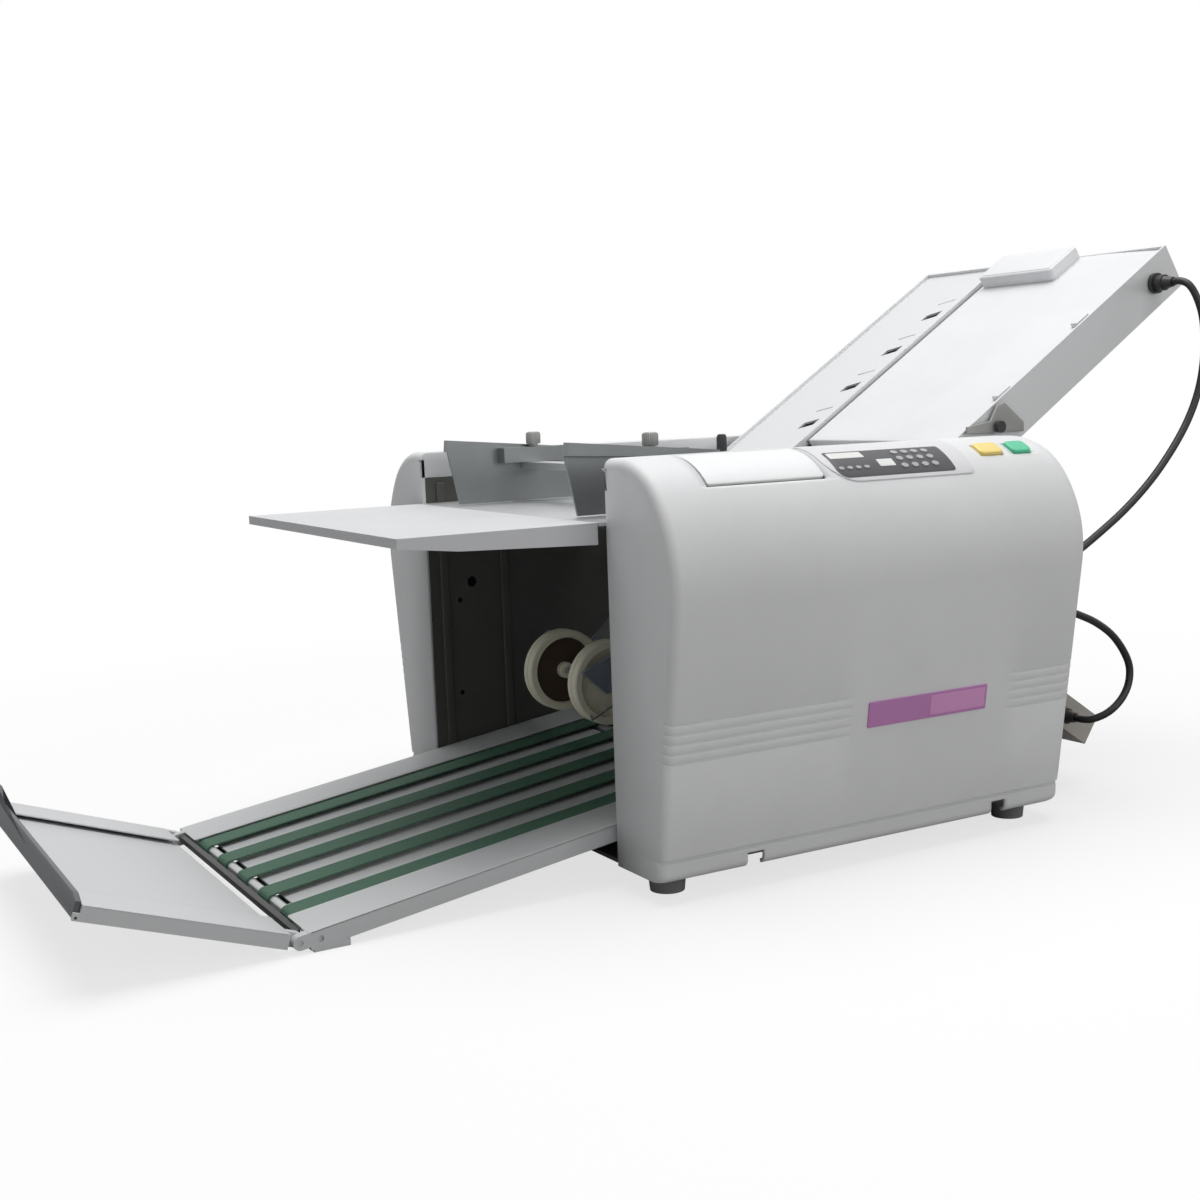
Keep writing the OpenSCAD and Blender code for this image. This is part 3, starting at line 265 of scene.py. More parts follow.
WEB = Finish("wheel_web", (74, 58, 44), Grain.MOULDED, 0.5, relief=0.1)
WIRE = Finish("bright_wire", (205, 206, 208), Grain.BRUSHED, 0.25, 1.0, 0.04)
PAD = Finish("pad_rubber", (150, 84, 50), Grain.RUBBER, 0.8, relief=0.15)
KNOB = Finish("screw_knob", (158, 158, 156), Grain.MOULDED, 0.4, 0.4, 0.1)
FEET = Finish("foot_rubber", (150, 150, 151), Grain.RUBBER, 0.8, relief=0.15)

CAD_FINISHES: dict[str, Finish] = {
    "base_plate": DARK_STEEL, "rubber_feet": FEET, "front_frame": FRAME_PAINT,
    "rear_frame": FRAME_PAINT, "tie_bars": STEEL, "front_cover": COVER, "rear_cover": COVER,
    "upper_end_panel": FRAME_PAINT, "lower_end_panel": FRAME_PAINT, "feed_bed": STEEL,
    "clamp_bar": STEEL, "control_bezel": BEZEL, "keypad": KEYPAD, "keypad_keys": KEY,
    "circuit_board": BOARD, "switch_shelf": BLACK, "control_well": BEZEL, "panel_lid": LID,
    "stop_button": STOP, "start_button": START, "power_inlet": BLACK, "power_rocker": BLACK,
    "cable_sockets": BLACK, "drive_motor": DARK_STEEL, "motor_pulley": STEEL,
    "drive_belt": BELT, "feed_belt": BELT, "conveyor_drive_belt": BELT, "shaft_bushes": BRASS,
    "fold_roller_1": RUBBER, "fold_roller_2": RUBBER, "fold_roller_3": RUBBER,
    "fold_roller_4": RUBBER, "feed_roller": RUBBER, "separator_block": STEEL,
    "separator_pad": PAD, "separator_knob": BLACK, "entry_guide": STEEL, "exit_guides": STEEL,
    "feed_table": TABLE, "front_paper_guide": GUIDE, "rear_paper_guide": GUIDE,
    "front_clamp_screw": KNOB, "rear_clamp_screw": KNOB, "fold_plate_1": PLATE,
    "plate_1_cover": PLATE_COVER, "plate_lock_knobs": BLACK, "fold_stop_1": STEEL,
    "fold_plate_2": BEIGE, "fold_stop_2": STEEL, "conveyor_section": CONVEYOR,
    "conveyor_belts": GREEN_BELT, "conveyor_roller": STEEL, "conveyor_end_roller": STEEL,
    "outer_section": CONVEYOR, "end_stop": SLATE, "stacker_arms": ARM, "stacker_wheels": CREAM,
    "upper_cable": CABLE, "lower_cable": CABLE,
}


# ------------------------------------------------------------------ frame and meshes
@dataclass
class Machine:
    """The loaded frame, and the one way that pieces are put into it."""

    base_gap: float = 3.8
    frame: dict = field(default_factory=dict)
    row_x: float = 0.0
    made: int = 0

    def load(self) -> None:
        """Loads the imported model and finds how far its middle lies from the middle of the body."""
        self.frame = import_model()
        low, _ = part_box("base_plate")
        self.row_x = low.x * 1000 - (X_LEFT + self.base_gap)

    def at(self, points: Array) -> Array:
        """Row-frame metres of points in machine millimetres: (p + (row_x, 0, 0)) / 1000."""
        return (np.asarray(points, float) + [self.row_x, 0.0, 0.0]) / 1000.0

    def piece(self, name: str, points: Array, faces: Sequence[Sequence[int]], finish: Finish, body: str,
              slot: str, replaces: Sequence[str] = (), angle: float = 32.0,
              wall: float = 0.0) -> bpy.types.Object:
        """Makes one mesh piece, closes its seams, and lets it ride on a body.

        Args:
            name: name of the piece.
            points: its vertices in machine millimetres.
            faces: its faces as vertex indices.
            finish: its finish.
            body: CAD body that carries it.
            slot: material slot of the record; not used.
            replaces: CAD nodes that it stands for.
            angle: edges sharper than this many degrees stay sharp.
            wall: thickness in millimetres given to an open skin, inwards.

        Returns:
            The new object.
        """
        mesh = bpy.data.meshes.new(name)
        mesh.from_pydata(self.at(points).tolist(), [], [list(f) for f in faces])
        work = bmesh.new()
        work.from_mesh(mesh)
        bmesh.ops.remove_doubles(work, verts=work.verts, dist=2e-6)
        bmesh.ops.dissolve_degenerate(work, edges=work.edges, dist=1e-7)
        bmesh.ops.recalc_face_normals(work, faces=work.faces)
        work.to_mesh(mesh)
        work.free()
        mesh.shade_smooth()
        mesh.set_sharp_from_angle(angle=math.radians(angle))
        mesh.materials.append(finish.make())
        obj = bpy.data.objects.new(name, mesh)
        bpy.context.scene.collection.objects.link(obj)
        if wall:
            solid = obj.modifiers.new("wall", "SOLIDIFY")
            solid.thickness = wall / 1000.0
            solid.offset = -1.0
        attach(obj, body)
        if replaces:
            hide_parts(*replaces)
        self.made += 1
        LOG.info("%s on %s: %d faces", name, body, len(mesh.polygons))
        return obj


def grid(rows: int, cols: int, wrap_rows: bool = False, wrap_cols: bool = False) -> Array:
    """Quads of a grid: cell (i, j) joins points (i, j), (i, j+1), (i+1, j+1) and (i+1, j).

    Args:
        rows: number of rows of points.
        cols: number of points in a row.
        wrap_rows: whether the last row joins the first.
        wrap_cols: whether the last point of a row joins its first.

    Returns:
        Face array of shape (cells, 4).
    """
    i = np.arange(rows if wrap_rows else rows - 1)
    j = np.arange(cols if wrap_cols else cols - 1)
    a, b = np.meshgrid(i, j, indexing="ij")
    c, d = (a + 1) % rows, (b + 1) % cols
    return np.stack([a * cols + b, a * cols + d, c * cols + d, c * cols + b], -1).reshape(-1, 4)


def rounded_outline(w: float, h: float, radii: Sequence[float], steps: int = 6) -> Array:
    """Outline of a w by h rectangle round the origin with its own radius at each corner.

    Each corner is centre + r (cos t, sin t) over a quarter turn, from the right upper one on.

    Args:
        w: width.
        h: height.
        radii: radius at the right upper, left upper, left lower and right lower corner.
        steps: number of chords in a corner.

    Returns:
        Points of the outline, anticlockwise.
    """
    parts = []
    for k, (sx, sy) in enumerate(((1, 1), (-1, 1), (-1, -1), (1, -1))):
        r = radii[k]
        t = np.radians(90.0) * (k + np.linspace(0, 1, steps + 1))
        centre = np.array([sx * (w / 2 - r), sy * (h / 2 - r)])
        parts.append(centre + r * np.stack([np.cos(t), np.sin(t)], 1))
    return np.concatenate(parts)


def inset(outline: Array, d: float) -> Array:
    """Outline moved in by d: each point goes along the mean of its two edge normals.

    Args:
        outline: closed anticlockwise outline.
        d: distance inwards.

    Returns:
        The moved outline.
    """
    def normals(edge: Array) -> Array:
        """Left normals of edges, zero for an edge without length."""
        size = np.linalg.norm(edge, axis=1, keepdims=True)
        unit = np.divide(edge, size, out=np.zeros_like(edge), where=size > 1e-9)
        return np.stack([-unit[:, 1], unit[:, 0]], 1)
    before = normals(outline - np.roll(outline, 1, 0))
    after = normals(np.roll(outline, -1, 0) - outline)
    total = before + after
    size = np.linalg.norm(total, axis=1, keepdims=True)
    unit = np.divide(total, size, out=np.zeros_like(total), where=size > 1e-9)
    cos_half = np.clip((unit * before).sum(1) + (np.abs(before).sum(1) < 1e-9), 0.5, 1.0)[:, None]
    return outline + unit * d / cos_half


def pad(outline: Array, low: float, high: float, place: Place, edge: float = 0.8, rings: int = 5,
        bottom_edge: float = 0.0, hollow: float = 0.0) -> tuple[Array, Array]:
    """Closed slab over an outline, with rounded edges, laid on any surface.

    Rings run from the middle of the underside out, up the side, round the edge with
    inset e (1 - cos t) at height high - e + e sin t, and back to the middle of the top.

    Args:
        outline: closed outline in the two directions of the surface.
        low: height of the underside over the surface.
        high: height of the top.
        place: turns arrays of s, t and height into points.
        edge: rounding of the top edge.
        rings: rings between the edge and the middle.
        bottom_edge: rounding of the bottom edge.
        hollow: how much lower the middle of the top lies than its rim.

    Returns:
        Points and faces.
    """
    middle = outline.mean(0)
    levels: list[tuple[Array, float]] = []
    t = np.linspace(0, math.pi / 2, 5)
    under = inset(outline, bottom_edge) if bottom_edge else outline
    for f in np.linspace(0, 1, rings + 1):
        levels.append((middle + f * (under - middle), low))
    if bottom_edge:
        for a in t[1:]:
            levels.append((inset(outline, bottom_edge * (1 - math.sin(a))),
                           low + bottom_edge * (1 - math.cos(a))))
    levels.append((outline, high - edge))
    for a in t[1:]:
        levels.append((inset(outline, edge * (1 - math.cos(a))), high - edge + edge * math.sin(a)))
    top = inset(outline, edge)
    for f in np.linspace(1, 0, rings + 1)[1:]:
        levels.append((middle + f * (top - middle), high - hollow * (1 - f * f)))
    st = np.stack([p for p, _ in levels])
    height = np.repeat(np.array([h for _, h in levels])[:, None], len(outline), 1)
    points = place(st[..., 0], st[..., 1], height).reshape(-1, 3)
    return points, grid(len(levels), len(outline), wrap_cols=True)


def spin(profile: Sequence[tuple[float, float]], place: Place, n: int = 48, knurl: int = 0,
         depth: float = 0.0) -> tuple[Array, Array]:
    """Profile of (radius, height) carried round an axis: p = (r cos a, r sin a, h).

    A knurl changes the radius by r' = r - depth (1 + cos(k a)) / 2 where r is largest.

    Args:
        profile: radius and height of each point, the ends on the axis.
        place: turns the two cross directions and the height into points.
        n: number of sides.
        knurl: number of flutes.
        depth: depth of the flutes.

    Returns:
        Points and faces.
    """
    prof = np.array(profile, float)
    a = np.linspace(0, 2 * math.pi, n, endpoint=False)
    r = np.repeat(prof[:, :1], n, 1)
    if knurl:
        r = r - (r > prof[:, 0].max() - 1e-6) * depth * (1 + np.cos(knurl * a)) / 2
    h = np.repeat(prof[:, 1:], n, 1)
    return place(r * np.cos(a), r * np.sin(a), h).reshape(-1, 3), grid(len(prof), n, wrap_cols=True)


def joined(parts: Sequence[tuple[Array, Array]]) -> tuple[Array, list]:
    """Several point and face sets as one, each face index moved up by the points before it."""
    points, faces, base = [], [], 0
    for p, f in parts:
        points.append(p)
        faces.extend((np.asarray(f) + base).tolist())
        base += len(p)
    return np.concatenate(points), faces


def block(x: tuple[float, float], y: tuple[float, float], z: tuple[float, float], place: Place,
          edge: float = 0.8, corner: float = 1.5) -> tuple[Array, Array]:
    """Rectangular block with rounded edges in the local directions of a place.

    Args:
        x: its two ends along the first direction.
        y: its two ends along the second.
        z: its two ends along the third.
        place: turns local coordinates into points.
        edge: rounding of the upper and lower edges.
        corner: rounding of the upright edges.

    Returns:
        Points and faces.
    """
    cx, cy = (x[0] + x[1]) / 2, (y[0] + y[1]) / 2
    w, h = x[1] - x[0], y[1] - y[0]
    corner = min(corner, w / 2.1, h / 2.1)
    edge = min(edge, (z[1] - z[0]) / 2.1, corner)
    outline = rounded_outline(w, h, [corner] * 4, 4)
    return pad(outline, z[0], z[1], lambda s, t, n: place(s + cx, t + cy, n), edge, 3, edge)


def upright(x: Array, y: Array, z: Array) -> Array:
    """Machine frame itself as a place."""
    return np.stack([x, y, z], -1)


def tilted(x0: float, z0: float, slope: float) -> Place:
    """Place whose first direction rises by slope degrees from (x0, z0): x along it, n square to it."""
    c, s = math.cos(math.radians(slope)), math.sin(math.radians(slope))
    return lambda d, y, n: np.stack([x0 + d * c - n * s, y, z0 + d * s + n * c], -1)


# ------------------------------------------------------------------ studio
@dataclass
class Studio:
    """Camera of the photograph, pale floor and soft light."""

    eye: tuple[float, float, float] = (-766.71, -1153.28, 365.4)
    yaw: float = 29.51
    pitch: float = 7.39
    roll: float = 2.08
    focal: float = 1580.4
    frame_px: float = 1200.0
    world_light: float = 0.25
    gloss_share: float = 0.75
    floor_half: float = 14.0
    floor_grey: float = 0.42
    glow_near: float = 0.72
    fade: tuple[float, float] = (0.55, 1.25)

    def camera(self, machine: Machine) -> None:
        """Camera with right, up and back as the columns of its rotation.

        Args:
            machine: the frame, for the row frame.
        """
        yaw, pitch, roll = (math.radians(a) for a in (self.yaw, self.pitch, self.roll))
        level = math.cos(pitch)
        ahead = np.array([math.sin(yaw) * level, math.cos(yaw) * level, -math.sin(pitch)])
        right = np.array([math.cos(yaw), -math.sin(yaw), 0.0])
        up = np.cross(right, ahead)
        side = math.cos(roll) * right - math.sin(roll) * up
        top = math.sin(roll) * right + math.cos(roll) * up
        data = bpy.data.cameras.new("photo_camera")
        data.sensor_width = 36.0
        data.lens = 36.0 * self.focal / self.frame_px
        data.clip_start, data.clip_end = 0.05, 60.0
        cam = bpy.data.objects.new("photo_camera", data)
        turn = Matrix(np.stack([side, top, -ahead], 1).tolist()).to_4x4()
        cam.matrix_world = Matrix.Translation(machine.at(np.array(self.eye)).tolist()) @ turn
        bpy.context.scene.collection.objects.link(cam)
        bpy.context.scene.camera = cam

    def world(self) -> None:
        """White world for the camera and for reflections, dim for the light it gives."""
        world = bpy.data.worlds.new("studio")
        bpy.context.scene.world = world
        world.use_nodes = True
        tree = world.node_tree
        back = tree.nodes["Background"]
        back.inputs["Color"].default_value = (1, 1, 1, 1)
        path = tree.nodes.new("ShaderNodeLightPath")
        seen = tree.nodes.new("ShaderNodeMath")
        seen.operation = "MAXIMUM"
        gloss = tree.nodes.new("ShaderNodeMath")
        gloss.operation = "MULTIPLY"
        gloss.inputs[1].default_value = self.gloss_share
        clear = tree.nodes.new("ShaderNodeMath")
        clear.operation = "MAXIMUM"
        span = tree.nodes.new("ShaderNodeMapRange")
        span.inputs["To Min"].default_value = self.world_light
        span.inputs["To Max"].default_value = 1.0
        tree.links.new(path.outputs["Is Glossy Ray"], gloss.inputs[0])
        tree.links.new(path.outputs["Is Camera Ray"], seen.inputs[0])
        tree.links.new(path.outputs["Is Transmission Ray"], seen.inputs[1])
        tree.links.new(seen.outputs["Value"], clear.inputs[0])
        tree.links.new(gloss.outputs["Value"], clear.inputs[1])
        tree.links.new(clear.outputs["Value"], span.inputs["Value"])
        tree.links.new(span.outputs["Result"], back.inputs["Strength"])

    def floor(self) -> None:
        """Large pale floor: white to the camera with the object's shadow, grey for bounced light.

        Seen by the camera, its glow rises from glow_near to 1 between the two fade distances.
        """
        mesh = bpy.data.meshes.new("floor")
        size = self.floor_half
        mesh.from_pydata([(-size, -size, 0), (size, -size, 0), (size, size, 0), (-size, size, 0)], [],
                         [(0, 1, 2, 3)])
        obj = bpy.data.objects.new("floor", mesh)
        bpy.context.scene.collection.objects.link(obj)
        mat = bpy.data.materials.new("studio_floor")
        mat.use_nodes = True
        tree = mat.node_tree
        shader = tree.nodes["Principled BSDF"]
        shader.inputs["Roughness"].default_value = 0.9
        shader.inputs["Specular IOR Level"].default_value = 0.1
        glow = tree.nodes.new("ShaderNodeEmission")
        glow.inputs["Color"].default_value = (1, 1, 1, 1)
        mix = tree.nodes.new("ShaderNodeMixShader")
        path = tree.nodes.new("ShaderNodeLightPath")
        share = tree.nodes.new("ShaderNodeMath")
        share.operation = "MULTIPLY"
        coords = tree.nodes.new("ShaderNodeTexCoord")
        reach = tree.nodes.new("ShaderNodeVectorMath")
        reach.operation = "LENGTH"
        fade = tree.nodes.new("ShaderNodeMapRange")
        fade.inputs["From Min"].default_value = self.fade[0]
        fade.inputs["From Max"].default_value = self.fade[1]
        fade.inputs["To Min"].default_value = self.glow_near
        fade.inputs["To Max"].default_value = 1.0
        tree.links.new(coords.outputs["Object"], reach.inputs[0])
        tree.links.new(reach.outputs["Value"], fade.inputs["Value"])
        tree.links.new(fade.outputs["Result"], share.inputs[1])
        tint = tree.nodes.new("ShaderNodeMix")
        tint.data_type = "RGBA"
        tint.inputs["A"].default_value = (self.floor_grey, self.floor_grey, self.floor_grey, 1)
        tint.inputs["B"].default_value = (1.0, 1.0, 1.0, 1)
        tree.links.new(path.outputs["Is Camera Ray"], share.inputs[0])
        tree.links.new(path.outputs["Is Camera Ray"], tint.inputs["Factor"])
        tree.links.new(tint.outputs["Result"], shader.inputs["Base Color"])
        tree.links.new(share.outputs["Value"], mix.inputs["Fac"])
        tree.links.new(shader.outputs["BSDF"], mix.inputs[1])
        tree.links.new(glow.outputs["Emission"], mix.inputs[2])
        tree.links.new(mix.outputs["Shader"], tree.nodes["Material Output"].inputs["Surface"])
        mesh.materials.append(mat)

    def lamps(self) -> None:
        """Wide soft box overhead and a dim fill on the camera side."""
        for name, place, size, power, tint in (
                ("overhead", (0.1, 0.1, 2.4), 2.2, 51.0, (1.0, 1.0, 1.0)),
                ("front_fill", (0.7, -2.6, 1.2), 1.6, 12.0, (1.0, 0.99, 0.98))):
            data = bpy.data.lights.new(name, "AREA")
            data.size = size
            data.energy = power
            data.color = tint
            obj = bpy.data.objects.new(name, data)
            ahead = -np.array(place) + [0.05, 0.0, 0.2]
            turn = Vector(ahead.tolist()).to_track_quat("-Z", "Y").to_matrix()
            obj.matrix_world = Matrix.Translation(place) @ turn.to_4x4()
            bpy.context.scene.collection.objects.link(obj)

    def build(self, machine: Machine) -> None:
        """Makes the camera, world, floor and lamps.

        Args:
            machine: the frame.
        """
        self.camera(machine)
        self.world()
        self.floor()
        self.lamps()
        bpy.context.scene.view_settings.view_transform = "Standard"


# ------------------------------------------------------------------ cables
UPPER_ROUTE = ((376, -178.2, 446), (376, -186, 446), (377, -194, 442), (379, -200, 432),
               (382, -204, 416), (384, -205, 396), (383, -205, 374), (377, -205, 350),
               (364, -205, 325), (344, -205, 300), (318, -205, 275), (288, -204, 252),
               (258, -202, 233), (236, -200, 220), (221, -200, 212.3), (211.2, -200, 212))
LOWER_ROUTE = ((211.2, -200, 172), (222, -200, 171.8), (238, -201, 166), (256, -202, 158),
               (274, -203, 146), (288, -203, 131), (295, -204, 116), (293, -205, 101),
               (284, -205, 88), (272, -202, 78), (262, -194, 72), (258, -186, 71),
               (258, -178.2, 71))


@dataclass
class Cables:
    """The two cables between the control side and the fold plates."""

    diameter: float = 6.4
    steps: int = 4

    def smooth(self, route: Sequence[tuple[float, float, float]]) -> Array:
        """Points on the curve through a route.

        Between p1 and p2: 0.5 (2 p1 + (p2 - p0) s + (2 p0 - 5 p1 + 4 p2 - p3) s^2
        + (3 p1 - p0 - 3 p2 + p3) s^3), with the ends continued straight.

        Args:
            route: points that the cable passes.

        Returns:
            Dense points along the cable.
        """
        p = np.array(route, float)
        q = np.concatenate([[2 * p[0] - p[1]], p, [2 * p[-1] - p[-2]]])
        s = np.linspace(0, 1, self.steps, endpoint=False)[None, :, None]
        p0, p1, p2, p3 = (q[k:len(q) - 3 + k, None, :] for k in range(4))
        c = 0.5 * (2 * p1 + (p2 - p0) * s + (2 * p0 - 5 * p1 + 4 * p2 - p3) * s ** 2
                   + (3 * p1 - p0 - 3 * p2 + p3) * s ** 3)
        return np.concatenate([c.reshape(-1, 3), p[-1:]])

    def cable(self, machine: Machine, name: str, route: Sequence[tuple[float, float, float]]) -> None:
        """Args:
            machine: the frame.
            name: the CAD node that it replaces.
            route: its points in machine millimetres.
        """
        line = machine.at(self.smooth(route))
        data = bpy.data.curves.new(name + "_sheath", "CURVE")
        data.dimensions = "3D"
        data.bevel_depth = self.diameter / 2000.0
        data.bevel_resolution = 5
        data.use_fill_caps = True
        spline = data.splines.new("POLY")
        spline.points.add(len(line) - 1)
        spline.points.foreach_set("co", np.c_[line, np.ones(len(line))].ravel())
        data.materials.append(CABLE.make())
        obj = bpy.data.objects.new(name + "_sheath", data)
        bpy.context.scene.collection.objects.link(obj)
        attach(obj, "chassis")
        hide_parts(name)

    def build(self, machine: Machine) -> None:
        """Makes both cables.

        Args:
            machine: the frame.
        """
        self.cable(machine, "upper_cable", UPPER_ROUTE)
        self.cable(machine, "lower_cable", LOWER_ROUTE)


# ------------------------------------------------------------------ covers
@dataclass
class Profile:
    """Cross-section of a cover: an upper curve, a longer flank curve and a leaning face."""

    top: float = COVER_TOP
    depth: float = 90.0
    crown_r: float = 63.0
    flank_r: float = 102.0
    split: float = 39.6
    lean: float = 8.25
    lip_z: float = 297.0
    feet_h: float = 18.0
    strip_z: float = 35.0
    strip_back: float = 2.0
    groove_z: float = 107.0
    pitch: float = 7.2
    grooves: int = 5
    top_r: float = 1.5
    foot_r: float = 6.0
    groove_steps: tuple[tuple[float, float], ...] = (
        (1.3, 0.0), (0.8, 0.25), (0.35, 1.0), (-0.35, 1.0), (-0.8, 0.25), (-1.3, 0.0))
    face_steps: tuple[tuple[float, float], ...] = ((12.0, 0.0), (0.6, 0.0), (0.0, 0.7))
    strip_steps: tuple[tuple[float, float], ...] = ((-0.8, 1.6), (-2.2, 1.6), (-3.0, 0.3), (-3.6, 0.0))
    strip_rows: tuple[float, ...] = (30.0, 29.0, 27.0)

    def __post_init__(self) -> None:
        """Works out the centres of the two curves."""
        s = math.radians(self.split)
        self.flank_u = self.depth - self.flank_r
        self.crown_u = self.flank_u + (self.flank_r - self.crown_r) * math.cos(s)
        self.crown_z = self.top - self.crown_r
        self.flank_z = self.crown_z - (self.flank_r - self.crown_r) * math.sin(s)

    def face_u(self, z: Array | float) -> Array | float:
        """Distance of the leaning face from the inner face at height z."""
        a = math.radians(self.lean)
        foot = self.flank_z - self.flank_r * math.sin(a)
        return self.flank_u + self.flank_r * math.cos(a) - (foot - z) * math.tan(a)

    def crown(self, angle: Array | float, out: Array | float = 0.0) -> tuple[Array, Array]:
        """Point (u, z) on the upper curve at an angle, out millimetres over it."""
        a = np.radians(angle)
        r = self.crown_r + out
        return self.crown_u + r * np.cos(a), self.crown_z + r * np.sin(a)

    def outline(self, extra_angles: Sequence[float] = ()) -> tuple[Array, Array, Array]:
        """Outline from the inner lip over the top and down to the foot.

        Args:
            extra_angles: angles of the upper curve that get a point of their own.

        Returns:
            Points (u, z), their inward directions, and a label for each: its angle on the
            upper curve, 200 before that curve, -100 after it and -200 from the strip down.
        """
        e = self.top_r
        pts: list[tuple[float, float]] = [(0.0, self.lip_z), (0.0, self.top - e)]
        label = [200.0, 200.0]
        for a in np.linspace(160, 90, 4):
            r = math.radians(a)
            pts.append((e + e * math.cos(r), self.top - e + e * math.sin(r)))
            label.append(200.0)
        turn = [90.0] * len(pts)
        even = np.linspace(self.split, 90, 26)
        angles = np.unique(np.concatenate([even, np.array(extra_angles, float)]))[::-1]
        for a in angles:
            u, z = self.crown(float(a))
            pts.append((float(u), float(z)))
            label.append(float(a))
            turn.append(float(a))
        for a in np.linspace(self.split, -self.lean, 22)[1:]:
            r = math.radians(float(a))
            pts.append((self.flank_u + self.flank_r * math.cos(r),
                        self.flank_z + self.flank_r * math.sin(r)))
            label.append(-100.0)
            turn.append(float(a))
        for g in range(self.grooves - 1, -1, -1):
            z0 = self.groove_z + g * self.pitch
            for dz, deep in self.groove_steps:
                pts.append((float(self.face_u(z0 + dz)) - deep, z0 + dz))
                label.append(-100.0)
                turn.append(-self.lean)
        strip_u = float(self.face_u(self.strip_z))
        rise = math.tan(math.radians(self.lean))
        for dz, deep in self.face_steps:
            pts.append((strip_u + (dz * rise if dz > 1 else 0.0) - deep, self.strip_z + dz))
            label.append(-200.0)
        for dz, deep in self.strip_steps:
            pts.append((strip_u - self.strip_back - deep, self.strip_z + dz))
            label.append(-200.0)
        foot = strip_u - self.strip_back
        for z in self.strip_rows:
            pts.append((foot, z))
            label.append(-200.0)
        for a in np.linspace(0, 90, 6):
            r = math.radians(float(a))
            pts.append((foot - self.foot_r + self.foot_r * math.cos(r),
                        self.feet_h + self.foot_r - self.foot_r * math.sin(r)))
            label.append(-200.0)
        turn += [0.0] * (len(pts) - len(turn))
        way = np.radians(np.array(turn))
        return np.array(pts), -np.stack([np.cos(way), np.sin(way)], 1), np.array(label)


